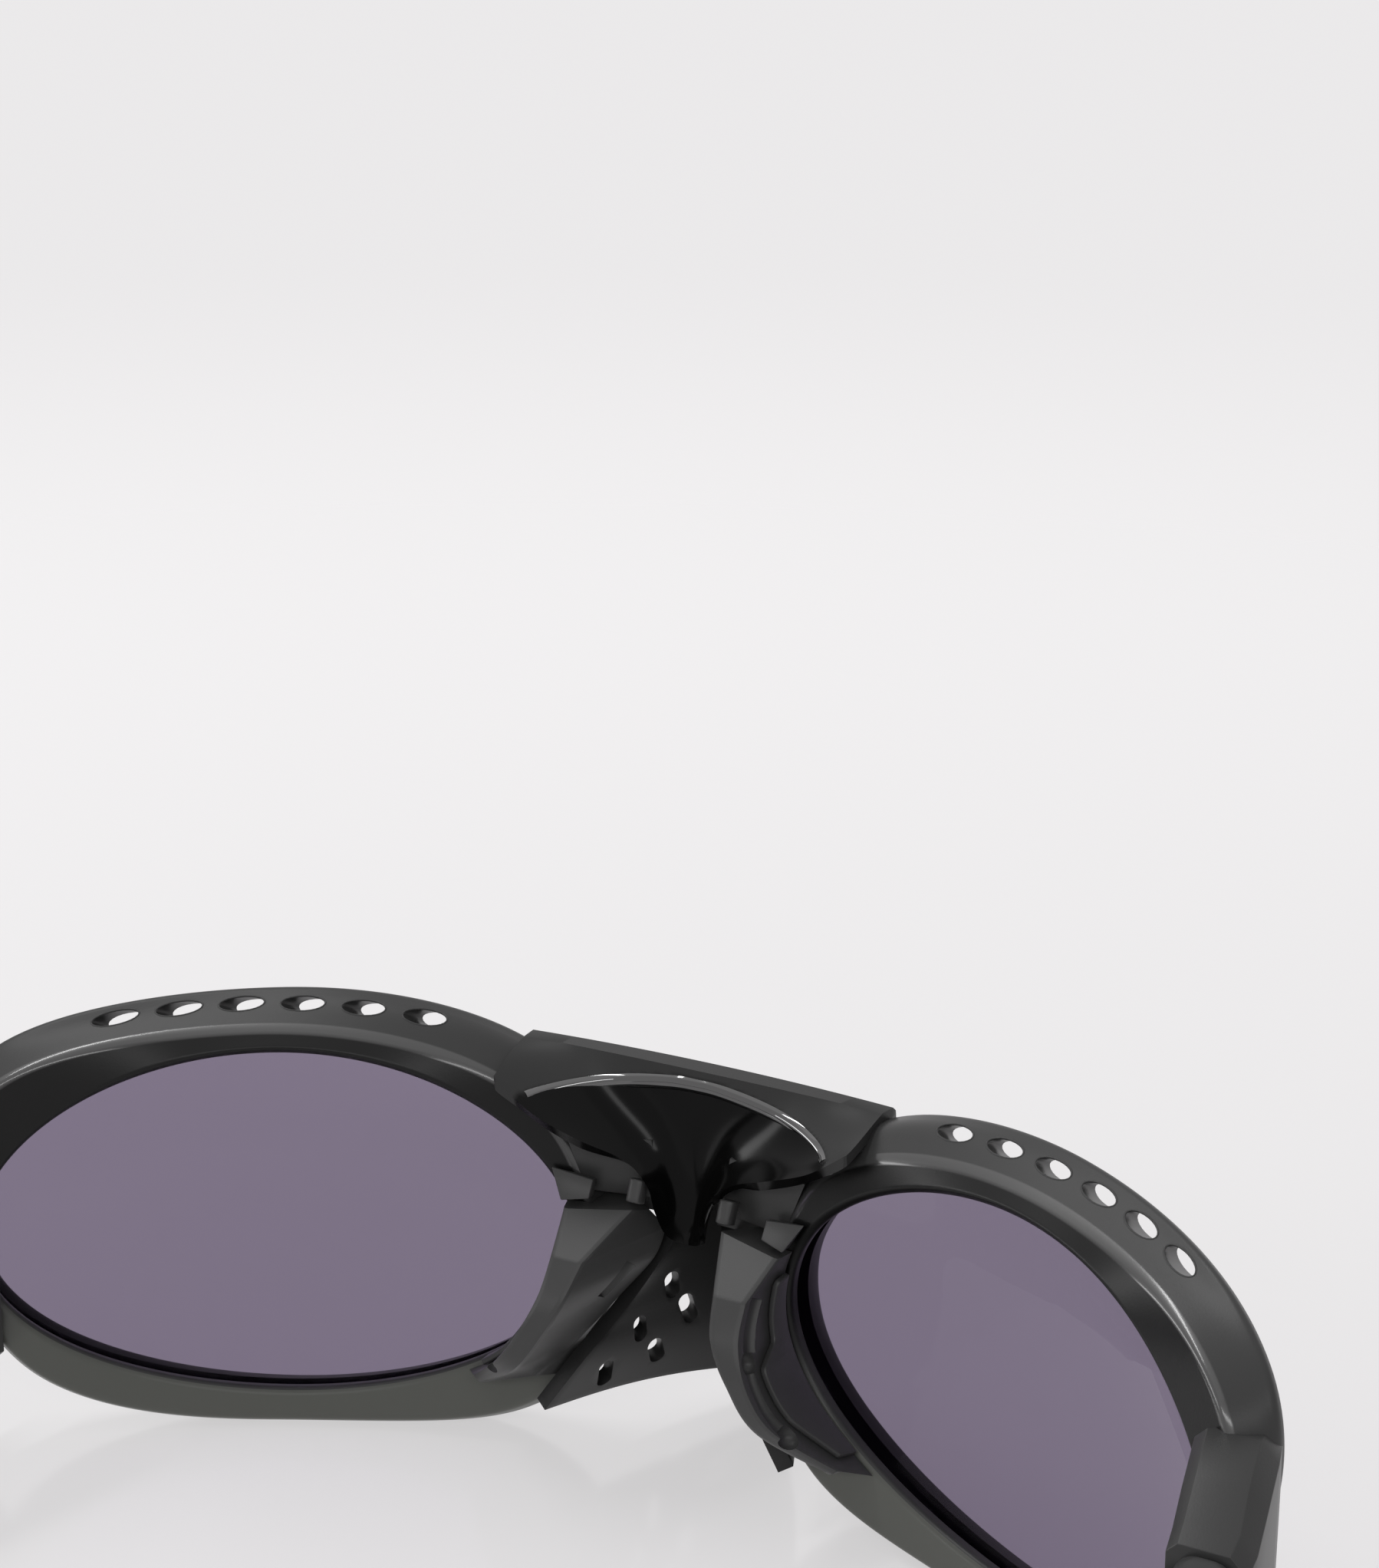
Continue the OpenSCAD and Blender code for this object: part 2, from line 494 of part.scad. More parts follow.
// Hinge leaves: the front one is screwed to the floor of its recess, the rear one to the arm
base_y = end_y - pocket_d + seat_gap;
base_x = pin_x + 0.45;
base_w = pocket_w - 0.35;
ear_w = 1.25;
temple_leaf_l = 10;
module knuckle(lo) {
    translate([pin_x, pin_y, lo]) difference() {
        cylinder(r = knuckle_r, h = knuckle_h, $fn = 32);
        translate([0, 0, -1]) cylinder(r = screw_r + screw_gap, h = knuckle_h + 2, $fn = 32);
    }
}
module front_leaf() {
    color([0.6, 0.6, 0.62]) placed() difference() {
        union() {
            for (k = [0, 2]) {
                lo = barrel_lo + k * (knuckle_h + knuckle_gap);
                knuckle(lo);
                translate([base_x, base_y, lo]) cube([ear_w, pin_y - base_y, knuckle_h]);
            }
            translate([base_x, base_y, barrel_lo]) cube([base_w, leaf_t, barrel_h]);
        }
        translate([pin_x, pin_y, barrel_lo - 1]) cylinder(r = screw_r + screw_gap, h = barrel_h + 2, $fn = 32);
        front_screws(screw_r);
    }
}
module temple_leaf() {
    lo = barrel_lo + knuckle_h + knuckle_gap;
    color([0.6, 0.6, 0.62]) placed() difference() {
        union() {
            knuckle(lo);
            translate([pin_x + 0.2, pin_y, lo]) cube([leaf_t, temple_leaf_l, knuckle_h]);
            translate([pin_x + 0.2, pin_y + 3, end_z - 5]) cube([leaf_t, temple_leaf_l - 3, 10]);
        }
        translate([pin_x, pin_y, lo - 1]) cylinder(r = screw_r + screw_gap, h = knuckle_h + 2, $fn = 32);
        arm_screws(screw_r);
    }
}
// Bed of the temple leaf in the arm, open to the inside
module leaf_bed() {
    g = seat_gap;
    translate([arm_in - 3, pin_y - 1, end_z - 5 - g])
        cube([pin_x + 0.2 + leaf_t + g - arm_in + 3, temple_leaf_l + 1 + g, 10 + 2 * g]);
}
// Places of the small screws: in the recess along Y, in the arm along X
front_screw_x = pin_x + 3.05;
arm_screw_y = pin_y + temple_leaf_l - 3;
thread_l = 2.2;
module front_screws(r) {
    for (k = [-1, 1]) translate([front_screw_x, base_y + leaf_t + 1, end_z + k * 3.6])
        rotate([90, 0, 0]) cylinder(r = r, h = leaf_t + thread_l + 1.3, $fn = 24);
}
module arm_screws(r) {
    for (k = [-1, 1]) translate([pin_x - 1, arm_screw_y, end_z + k * 3])
        rotate([0, 90, 0]) cylinder(r = r, h = leaf_t + thread_l + 1.5, $fn = 24);
}
// A small screw along Z: a slotted head and a shank below it
module small_screw() {
    difference() {
        union() {
            cylinder(r = 1.2, h = 0.6, $fn = 24);
            translate([0, 0, -leaf_t - thread_l]) cylinder(r = screw_r - screw_gap, h = leaf_t + thread_l + 0.1, $fn = 24);
        }
        translate([-1.3, -0.15, 0.3]) cube([2.6, 0.3, 1]);
    }
}
module leaf_screws_front() {
    color([0.75, 0.75, 0.77]) placed() {
        front_pair();
        right_side() front_pair();
    }
}
module front_pair() {
    for (k = [-1, 1]) translate([front_screw_x, base_y + leaf_t, end_z + k * 3.6])
        rotate([-90, 0, 0]) small_screw();
}
module leaf_screws() {
    color([0.75, 0.75, 0.77]) placed()
        for (k = [-1, 1]) translate([pin_x + 0.2, arm_screw_y, end_z + k * 3])
            rotate([0, -90, 0]) small_screw();
}
module hinge_screw() {
    color([0.75, 0.75, 0.77]) placed() translate([pin_x, pin_y, barrel_lo]) difference() {
        union() {
            cylinder(r = screw_r, h = barrel_h + 0.1, $fn = 32);
            translate([0, 0, barrel_h + 0.05]) cylinder(r = 1.4, h = 0.5, $fn = 32);
        }
        translate([-1.5, -0.2, barrel_h + 0.3]) cube([3, 0.4, 1]);
    }
}

// Small pieces round the nose pads: a plate on the lens side, a tab above and a clip under the bridge cover
plate_t = 0.7;
plate_share = [0.3, 0.36, 0.4, 0.62, 0.72, 0.6];
plate_from = 0.16;
plate_to = 0.94;
module pad_plate() {
    color([0.3, 0.3, 0.3]) placed() loft([for (i = [0:12])
        let (g = i / 12, f = lerp(plate_from, plate_to, g), row = pad_ring(f), low = pad_ring(f + 0.03),
             v = cross(low[0] - row[0] + low[1] - row[1], row[1] - row[0]), n = v / norm(v),
             p = lerp(row[0], row[1], 0.06), q = lerp(row[0], row[1], along(plate_share, g)))
        [p + n * 0.1, q + n * 0.1, q + n * plate_t, p + n * plate_t]]);
}
module pad_tab() {
    color([0.33, 0.33, 0.33]) placed()
        loft([[for (p = [[1.155, 1.5, 0.47], [0.79, 0.9, 0.43], [0.785, 1.9, 0.34], [1.01, 2.7, 0.32]]) at_nose(p)],
              [for (p = [[1.15, 1.3, 0.46], [0.795, 0.2, 0.42], [0.79, 0.7, 0.335], [1.01, 1.2, 0.315]]) at_nose(p)]]);
}
module pad_clip() {
    color([0.3, 0.3, 0.3]) placed()
        bar([[0.412, -0.2, 0.46], [0.412, 0.7, 0.345]], [[0.8, 0.8], [0.8, 0.8]], 2, 8);
}

front_frame();
placed() lens();  // lens_left
right_side() placed() lens();  // lens_right
bridge_cover();
nose_shield();
nose_pad();  // nose_pad_left
right_side() nose_pad();  // nose_pad_right
pad_plate();  // pad_plate_left
right_side() pad_plate();  // pad_plate_right
pad_tab();  // pad_tab_left
right_side() pad_tab();  // pad_tab_right
pad_clip();  // pad_clip_left
right_side() pad_clip();  // pad_clip_right
front_leaf();  // front_leaf_left
right_side() front_leaf();  // front_leaf_right
leaf_screws_front();
temple_leaf();  // temple_leaf_left
right_side() temple_leaf();  // temple_leaf_right
leaf_screws();  // leaf_screws_left
right_side() leaf_screws();  // leaf_screws_right
hinge_screw();  // hinge_screw_left
right_side() hinge_screw();  // hinge_screw_right
temple_arm();  // temple_arm_left
right_side() temple_arm();  // temple_arm_right
temple_liner();  // temple_liner_left
right_side() temple_liner();  // temple_liner_right
temple_core();  // temple_core_left
right_side() temple_core();  // temple_core_right
ear_sock();  // ear_sock_left
right_side() ear_sock();  // ear_sock_right
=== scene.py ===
import math

import bmesh
import bpy
import numpy as np
from mathutils import Matrix, Vector
from mathutils.bvhtree import BVHTree


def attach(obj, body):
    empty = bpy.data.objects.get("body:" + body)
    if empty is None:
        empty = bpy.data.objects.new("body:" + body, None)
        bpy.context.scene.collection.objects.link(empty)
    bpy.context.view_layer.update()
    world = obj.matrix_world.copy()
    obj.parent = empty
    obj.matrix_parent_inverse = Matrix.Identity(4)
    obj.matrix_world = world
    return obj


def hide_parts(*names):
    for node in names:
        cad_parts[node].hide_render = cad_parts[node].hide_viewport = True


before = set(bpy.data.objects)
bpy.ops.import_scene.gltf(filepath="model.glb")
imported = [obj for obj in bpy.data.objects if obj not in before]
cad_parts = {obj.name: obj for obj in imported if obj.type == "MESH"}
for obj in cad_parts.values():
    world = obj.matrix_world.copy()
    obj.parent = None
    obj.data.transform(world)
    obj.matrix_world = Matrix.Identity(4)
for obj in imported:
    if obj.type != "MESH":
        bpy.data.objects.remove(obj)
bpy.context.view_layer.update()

bl_info = {
    "name": "Wraparound sunglasses",
    "version": (1, 0, 0),
    "blender": (4, 5, 0),
    "location": "View3D > Sidebar > Sunglasses",
    "description": "Builds oval wraparound sunglasses over their CAD frame, with a plain studio",
    "category": "Object",
}

MM = 0.001
DEG = 180 / math.pi

# Sizes of the front as in the solid model: lengths in millimetres, angles in degrees
LENS_R = 68.0
LENS_T = 2.2
LENS_IN = 0.491 * 58 / LENS_R * DEG
LENS_OUT = 0.509 * 58 / LENS_R * DEG
LENS_MID = 2.8 + LENS_IN
LENS_UP = math.degrees(math.asin(17.4 / LENS_R))
RIM_ANGLE = LENS_UP + 3.5 / LENS_R * DEG
CTR = np.array([11.2 - LENS_R * math.sin(math.radians(2.8)), LENS_R - 1, 21.0021])
GROOVE = 1.2
SEAT = 0.1
HALF_GAP = 11.2
HALF_H = 17.4
REACH = 19.0
COVER_W = 36.8

# Keys round the rim at every 45 degrees: temple end, then over the brow to the nose, and back below
EDGE_SHARE = (1, 0.8, 0.4, 0.75, 1, 1, 1, 1)
SQUARENESS = (2.2, 4, 3.2, 3, 2.4, 3.1, 2.5, 2.4)
BROW_FALL = 0.045
CREASE_R = (0, 0.6, 1, 0, -1.2, -1.4, -1.4, -1.2)
UNDER_OFF = (-0.4, 0.7, 1.2, -0.2, 0.3, 0.25, 0.25, 0.2)
FRONT_OFF = (-3, 0.9, 1.3, -1.1, -1, -0.8, -1.5, -2.2)
UNDER_R = (3.3, 3.5, 4.4, 3.5, 2, 1, 1, 1.7)
BROW_D = 5.4
FRONT_SHARE = (0.72, 1.08, 1.33, 1.3, 1.19, 1.11, 0.87, 0.72)
BEVEL_OFF = (0.6, 0.7, 0.9, 0.7, 0.6, 0.6, 0.6, 0.6)
LIP_SHARE = (1, 0.9, 0.6, 0.9, 1, 1, 1, 1)
CREASE_OFF = (-0.3, 0.6, 0.8, -1.5, -0.6, -0.4, -0.4, -0.4)
BEZEL_OFF = (-1.1, -0.7, -0.9, -0.3, 0.2, 0.1, 0, -0.5)
BEZEL_SHARE = (0.62, 0.85, 1.13, 1.04, 0.87, 0.81, 0.74, 0.64)


def sind(a):
    return math.sin(math.radians(a))


def cosd(a):
    return math.cos(math.radians(a))


def lerp(a, b, f):
    return a + (b - a) * f


def share(x):
    """A value kept between 0 and 1."""
    return min(max(x, 0), 1)


def spline(a, b, c, d, f):
    """Smooth value between b and c, with a before and d after them."""
    return b + f * ((c - a) / 2 + f * ((a - 2.5 * b + 2 * c - d / 2) + f * (1.5 * (b - c) + (d - a) / 2)))


def around(keys, t):
    """Smooth value at turn t of a closed ring of keys."""
    n = len(keys)
    u = t / 360 * n
    i = math.floor(u)
    return spline(keys[(i - 1) % n], keys[i % n], keys[(i + 1) % n], keys[(i + 2) % n], u - i)


def along(keys, f):
    """Smooth value at share f of an open row of keys."""
    n = len(keys) - 1
    u = min(max(f, 0), 0.99999) * n
    i = int(u)
    k = [np.asarray(keys[j], float) for j in (max(i - 1, 0), i, i + 1, min(i + 2, n))]
    return spline(*k, u - i)


def on_lens(a, e, r):
    """Point at two angles and a radius round the lens centre."""
    return CTR + r * np.array([sind(a) * cosd(e), -cosd(a) * cosd(e), sind(e)])


def at_nose(p):
    """Point from shares of the half gap and the lens height, with its depth in millimetres."""
    return np.array([p[0] * HALF_GAP, p[1], CTR[2] + p[2] * HALF_H])


def lens_edge(t, off, r):
    """Outline of the lens opening at turn t, grown by off millimetres."""
    w = (LENS_OUT if cosd(t) > 0 else LENS_IN) + off / r * DEG
    return on_lens(LENS_MID + w * cosd(t), (LENS_UP + off / r * DEG) * sind(t), r)


def rim_edge(t, off, r):
    """Outer outline of the rim at turn t, grown by off millimetres."""
    p = around(SQUARENESS, t)
    q = (abs(cosd(t)) ** p + abs(sind(t)) ** p) ** (-1 / p)
    w = (LENS_OUT + 1.9 if cosd(t) > 0 else LENS_IN + 2.3) + off / r * DEG
    h = (LENS_UP + 0.8 if sind(t) > 0 else RIM_ANGLE) + off / r * DEG
    a = LENS_MID + w * q * cosd(t)
    return on_lens(a, h * q * sind(t) - BROW_FALL * max(0, sind(t)) * (a - LENS_MID), r)


def rim_ring(t):
    """Corners of the rim's section at turn t, each with the length of its rounding."""
    rc = LENS_R + around(CREASE_R, t)
    rf = LENS_R + BROW_D * around(FRONT_SHARE, t)
    ra = LENS_R - SEAT
    rb = LENS_R + LENS_T + SEAT
    g = GROOVE * around(EDGE_SHARE, t) + SEAT
    f = around(FRONT_OFF, t)
    h = LENS_R - 1.5 * around(LIP_SHARE, t)
    z = around(BEZEL_OFF, t)
    c = around(CREASE_OFF, t)
    rz = LENS_R + BROW_D * around(BEZEL_SHARE, t)
    return [(lens_edge(t, 0, ra), 0.05), (lens_edge(t, 0, h + 0.4), 0.3),
            (lens_edge(t, around(BEVEL_OFF, t), h), 0.3),
            (rim_edge(t, c, rc), 0.55),
            (rim_edge(t, around(UNDER_OFF, t), LENS_R + around(UNDER_R, t)), 1.2),
            (rim_edge(t, f, rf - 0.6), 0.4), (rim_edge(t, f - 0.8, rf), 0.4),
            (lens_edge(t, z, rz), 0.8), (lens_edge(t, min(0, z) * 0.8, rb + min(0.9, (rz - rb) / 2)), 0.3),
            (lens_edge(t, 0, rb), 0.05),
            (lens_edge(t, g, rb), 0.02), (lens_edge(t, g, ra), 0.02)]


def rounded(corners, steps=4):
    """A closed outline with each corner drawn as a short curve, and a point on each flat beside it."""
    points = []
    n = len(corners)
    for i, (p, r) in enumerate(corners):
        a, b = corners[i - 1][0] - p, corners[(i + 1) % n][0] - p
        la, lb = max(np.linalg.norm(a), 1e-6), max(np.linalg.norm(b), 1e-6)
        before, after = p + a / la * min(1.3 * r, la * 0.48), p + b / lb * min(1.3 * r, lb * 0.48)
        a = p + a / la * min(r, la * 0.42)
        b = p + b / lb * min(r, lb * 0.42)
        curve = [a * (1 - k / steps) ** 2 + 2 * p * k / steps * (1 - k / steps) + b * (k / steps) ** 2
                 for k in range(steps + 1)]
        points += [before] + curve + [after]
    return points


END_X, TEMPLE_Y, _ = on_lens(LENS_MID + LENS_OUT, 0, LENS_R)
PIN = np.array([END_X - 0.4, TEMPLE_Y + 12.6, CTR[2] - 1.4])
END_Y = PIN[1] - 1
END_L = 14.2
ARM_IN = PIN[0] - 0.3
ARM_T = 6.5
ARM_Y = END_Y + 0.45
ARM_L = 106.0
EAR_H = 8.4
END_LO, END_HI = PIN[2] - 9.8, PIN[2] + 9.8
BARREL_LO = PIN[2] - 6.15
TIP_Y = PIN[1] + ARM_L
# The bridge is drawn near Y = 0, and everything is moved so that the origin is in the middle
BACK = (TIP_Y + 0.14 * EAR_H - REACH) / 2


def place(p, side=1):
    """A point in millimetres, brought to the frame in metres."""
    return (side * p[0] * MM, (p[1] - BACK) * MM, p[2] * MM)


def mesh_piece(name, points, faces, side=1, sharp=35, masks=None):
    """A mesh object from points in millimetres, smooth except at sharp edges."""
    mesh = bpy.data.meshes.new(name)
    mesh.from_pydata([place(p, side) for p in points], [], faces)
    for key, values in (masks or {}).items():
        mesh.attributes.new(key, "FLOAT", "POINT").data.foreach_set("value", values)
    piece = bpy.data.objects.new(name, mesh)
    bpy.context.scene.collection.objects.link(piece)
    outwards(mesh)
    smooth(mesh, sharp)
    return piece


def outwards(mesh):
    """Turns the faces of a closed mesh so that they look outwards."""
    form = bmesh.new()
    form.from_mesh(mesh)
    bmesh.ops.recalc_face_normals(form, faces=form.faces)
    if form.calc_volume(signed=True) < 0:
        bmesh.ops.reverse_faces(form, faces=form.faces)
    form.to_mesh(mesh)
    form.free()


def smooth(mesh, sharp):
    """Smooth shading, but not over edges sharper than an angle."""
    mesh.shade_smooth()
    mesh.set_sharp_from_angle(angle=math.radians(sharp))


def loft_faces(m, n, ring=False):
    """Faces of m rings of n points, with end caps if the row of rings is open."""
    faces = []
    for i in range(m if ring else m - 1):
        for j in range(n):
            k, i2 = (j + 1) % n, (i + 1) % m
            faces.append((i * n + j, i2 * n + j, i2 * n + k, i * n + k))
    if not ring:
        faces.append(tuple(range(n)))
        faces.append(tuple((m - 1) * n + j for j in reversed(range(n))))
    return faces


def loft(name, rings, side=1, ring=False, sharp=35, masks=None):
    """A solid through a row of closed outlines that have the same number of points."""
    points = [p for row in rings for p in row]
    return mesh_piece(name, points, loft_faces(len(rings), len(rings[0]), ring), side, sharp, masks)


def sheet_faces(m, n):
    """Faces of a closed solid between two grids of m rows of n points."""
    k = m * n
    quads = [(i * n + j, (i + 1) * n + j, (i + 1) * n + j + 1, i * n + j + 1)
             for i in range(m - 1) for j in range(n - 1)]
    faces = quads + [tuple(k + v for v in reversed(q)) for q in quads]
    edge = [(0, j, 0, j + 1) for j in range(n - 1)] + [(m - 1, j + 1, m - 1, j) for j in range(n - 1)]
    edge += [(i + 1, 0, i, 0) for i in range(m - 1)] + [(i, n - 1, i + 1, n - 1) for i in range(m - 1)]
    for i, j, i2, j2 in edge:
        a, b = i * n + j, i2 * n + j2
        faces.append((a, b, k + b, k + a))
    return faces


def apply_modifiers(piece):
    """Turns the modifiers of a piece into its mesh."""
    graph = bpy.context.evaluated_depsgraph_get()
    mesh = bpy.data.meshes.new_from_object(piece.evaluated_get(graph), preserve_all_data_layers=True,
                                           depsgraph=graph)
    piece.modifiers.clear()
    old = piece.data
    piece.data = mesh
    bpy.data.meshes.remove(old)


def cut(piece, cutters, sharp=35):
    """Cuts the cutters out of a piece and removes them."""
    for cutter in cutters:
        step = piece.modifiers.new("cut", "BOOLEAN")
        step.operation = "DIFFERENCE"
        step.solver = "EXACT"
        step.object = cutter
    apply_modifiers(piece)
    for cutter in cutters:
        bpy.data.objects.remove(cutter)
    smooth(piece.data, sharp)


def soften(piece, width):
    """Rounds the sharp edges of a piece, over a width in millimetres."""
    step = piece.modifiers.new("edges", "BEVEL")
    step.width = width * MM
    step.segments = 3
    step.limit_method = "ANGLE"
    step.angle_limit = math.radians(30)
    step.harden_normals = False
    apply_modifiers(piece)
    smooth(piece.data, 40)


def prism(name, outline, origin, axes, depth, side=1):
    """A straight solid: an outline in the plane of the first two axes, drawn out both ways along the third."""
    x, y, z = (np.asarray(a, float) for a in axes)
    rings = [[np.asarray(origin) + x * u + y * v + z * w for u, v in outline] for w in (-depth / 2, depth / 2)]
    return loft(name, rings, side)


def block(name, low, high, side=1):
    """A box between two corners."""
    x0, y0, z0 = low
    x1, y1, z1 = high
    ring = [(x0, z0), (x1, z0), (x1, z1), (x0, z1)]
    return loft(name, [[np.array([x, y, z]) for x, z in ring] for y in (y0, y1)], side)


def tube(name, points, radius, side, sides, ring=False):
    """A round bar along a row of points."""
    pts = [np.asarray(p, float) for p in points]
    turns = [2 * math.pi * j / sides for j in range(sides)]
    rings = []
    for i, p in enumerate(pts):
        a = pts[i - 1] if ring or i else p
        b = pts[(i + 1) % len(pts)] if ring or i < len(pts) - 1 else p
        t = (b - a) / np.linalg.norm(b - a)
        u = np.cross(t, (0.3, 0.2, 0.93))
        u /= np.linalg.norm(u)
        v = np.cross(t, u)
        rings.append([p + radius * (u * math.cos(turn) + v * math.sin(turn)) for turn in turns])
    return loft(name, rings, side, ring, sharp=60)


def join(name, pieces):
    """Several mesh pieces as one object, with the first one's materials."""
    with bpy.context.temp_override(active_object=pieces[0], selected_editable_objects=pieces):
        bpy.ops.object.join()
    pieces[0].name = name
    return pieces[0]


class Wire:
    """A socket in a material, with the arithmetic of its value."""

    def __init__(self, finish, socket):
        self.finish = finish
        self.socket = socket

    def math(self, operation, *values):
        return self.finish.node("ShaderNodeMath", {"operation": operation}, dict(enumerate(values)))

    def __radd__(self, other):
        return self.math("ADD", other, self)

    def __mul__(self, other):
        return self.math("MULTIPLY", self, other)

    def __rmul__(self, other):
        return self.math("MULTIPLY", other, self)


class Finish:
    """A material being made: its nodes and its surface shader."""

    def __init__(self, name, **sockets):
        self.material = bpy.data.materials.new(name)
        self.material.use_nodes = True
        self.tree = self.material.node_tree
        self.shader = next(n for n in self.tree.nodes if n.type == "BSDF_PRINCIPLED")
        for key, value in sockets.items():
            self.set(key.replace("_", " "), value)

    def set(self, key, value):
        """Gives a socket of the surface shader a value or a wire."""
        self.put(self.shader.inputs[key], value)

    def put(self, socket, value):
        if isinstance(value, Wire):
            self.tree.links.new(value.socket, socket)
        else:
            socket.default_value = value

    def node(self, kind, settings=None, inputs=None, output=0):
        """A new node with its settings and inputs, as the wire from one of its outputs."""
        node = self.tree.nodes.new(kind)
        for key, value in (settings or {}).items():
            setattr(node, key, value)
        for key, value in (inputs or {}).items():
            self.put(node.inputs[key], value)
        return Wire(self, node.outputs[output])

    def where(self):
        """Place on the piece, in its own coordinates."""
        return self.node("ShaderNodeTexCoord", output=3)

    def mask(self, name):
        """A value that is stored at the points of the mesh."""
        return self.node("ShaderNodeAttribute", {"attribute_name": name}, output=2)

    def noise(self, scale, detail):
        return self.node("ShaderNodeTexNoise", None, {"Vector": self.where(), "Scale": scale, "Detail": detail,
                                                      "Roughness": 0.5})

    def mix(self, factor, a, b):
        return self.node("ShaderNodeMix", {"data_type": "RGBA"}, {0: factor, 6: a, 7: b}, output=2)

    def bump(self, height, distance):
        self.set("Normal", self.node("ShaderNodeBump", None, {"Height": height, "Distance": distance,
                                                              "Strength": 0.5}))


def grey(level, tint=(1, 1, 1)):
    """A linear colour from a display level of 0 to 255."""
    c = level / 255
    c = c / 12.92 if c <= 0.04045 else ((c + 0.055) / 1.055) ** 2.4
    return (c * tint[0], c * tint[1], c * tint[2], 1)


# Scales of the plastics' fine grain, and of the faint pattern from the flow in the mould
GRAIN = 5200
FLOW = 60
# Painted light on the underside of a rim: lighter than the rest, and a little green
UNDER_PAINTED_LIGHT = 1.5
UNDER_TINT = (1, 1.03, 0.93)


def moulded(name, level, roughness, grain=1.0, wall=None):
    """Satin moulded plastic: a fine spark-eroded grain and a faint flow pattern.

    With a wall level, the wall beside the lens gets painted shade, its crease is polished and the underside
    gets painted light.
    """
    finish = Finish(name, Specular_IOR_Level=0.22, IOR=1.5)
    flow = finish.noise(FLOW, 2)
    plain = finish.mix(flow, grey(level * 0.94), grey(level * 1.06))
    if wall is not None:
        # Painted shade: the wall beside the lens is darkened in its colour
        plain = finish.mix(finish.mask("wall"), plain, grey(wall))
        # Painted light from below: the underside of the rim is lighter and a little green
        plain = finish.mix(finish.mask("under"), plain, grey(level * UNDER_PAINTED_LIGHT, UNDER_TINT))
        finish.set("Coat Weight", finish.mask("edge"))
        finish.set("Coat Roughness", 0.16)
    finish.set("Base Color", plain)
    finish.set("Roughness", roughness - 0.04 + 0.08 * flow)
    finish.bump(finish.noise(GRAIN, 1), 0.000012 * grain)
    return finish.material


def put_on(piece, material):
    """Gives a piece one material."""
    piece.data.materials.clear()
    piece.data.materials.append(material)


def finished(piece, material, body, slot, *nodes):
    """Gives a piece its material, its body and the CAD nodes that it stands for; the slot is not used."""
    put_on(piece, material)
    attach(piece, body)
    if nodes:
        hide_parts(*nodes)


SIDES = (("left", 1), ("right", -1))
# Materials that more than one operator puts on
STORE = {}


def colour(name, description, value):
    """A grey as a display level."""
    return bpy.props.FloatProperty(name=name, description=description, default=value, min=0, max=255)


class SunglassesFinish(bpy.types.PropertyGroup):
    """Shades of the pieces, as display levels from 0 to 255."""
    frame_level: colour("Frame", "Grey of the rims and arms", 58)
    # Grey of the painted shade on the walls beside the lenses
    painted_wall_shade_level: colour("Rim wall", "Grey of the walls beside the lenses", 8)
    gloss_level: colour("Bridge cover", "Grey of the gloss bridge cover", 8)
    pad_level: colour("Pads", "Grey of the nose pads", 64)
    shield_level: colour("Shield", "Grey of the nose shield", 33)
    frame_roughness: bpy.props.FloatProperty(name="Satin", description="Roughness of the rims", default=0.36,
                                             min=0, max=1, subtype="FACTOR")
    lens_tint: bpy.props.FloatVectorProperty(name="Lens tint", description="Colour that the lenses let through",
                                             default=(0.245, 0.208, 0.285), min=0, max=1, subtype="COLOR")


class SunglassesSizes(bpy.types.PropertyGroup):
    """Fine sizes that only the dressed model has."""
    rim_stations: bpy.props.IntProperty(name="Rim steps", description="Sections round each rim", default=240,
                                        min=64, max=400)
    vent_width: bpy.props.FloatProperty(name="Vent width", description="Width of a vent hole in millimetres",
                                        default=3.9, min=3, max=4.2)
    vent_height: bpy.props.FloatProperty(name="Vent height", description="Height of a vent hole in millimetres",
                                         default=1.6, min=1.2, max=1.9)
    floor_level: colour("Floor", "Grey of the floor", 226)
    back_level: colour("Backdrop", "Grey of the backdrop", 235)


VENTS = 6
VENT_PITCH = 6.05
VENT_TILT = 28


def vent_place(i):
    """Middle of a vent hole, along the crown of the brow band."""
    r = LENS_R + 0.78 * BROW_D
    turn = i * VENT_PITCH / r * DEG - 11
    return on_lens(LENS_MID + turn, LENS_UP + 1.75 - 0.0056 * (turn - 1) ** 2, r)


def vent_axes(i):
    """Directions of a vent hole: along the band, across it, and through it."""
    forward = np.array([0, -cosd(VENT_TILT), -sind(VENT_TILT)])
    along_band = vent_place(i + 0.1) - vent_place(i - 0.1)
    along_band = along_band - forward * (along_band @ forward)
    along_band = along_band / np.linalg.norm(along_band)
    return along_band, np.cross(forward, along_band), forward


def end_ring(y, xi, xo, lo, hi, c):
    """Section of an endpiece between two sides and two heights, with its corners cut by c."""
    return [np.array(p, float) for p in (
        (xi + c, y, lo), (xi, y, lo + c), (xi, y, hi - c), (xi + c, y, hi), (xo - 1.6 * c, y, hi),
        (xo, y, hi - 1.6 * c), (xo, y, lo + 1.6 * c), (xo - 1.6 * c, y, lo))]


def barrel_room(side):
    """A round cutter that leaves room for the hinge barrel."""
    ring = [(2.15 * cosd(10 * j), 2.15 * sind(10 * j)) for j in range(36)]
    return prism("knuckle", ring, PIN, ((1, 0, 0), (0, 1, 0), (0, 0, 1)), 13.5, side)


# Points of a rim's section: the wall from the lens to the crease, which gets painted shade, the crease, and the
# underside, which gets painted light
WALL_SHADE_POINTS = range(6, 23)
CREASE_POINTS = range(22, 27)
UNDER_LIGHT_POINTS = range(14, 35)

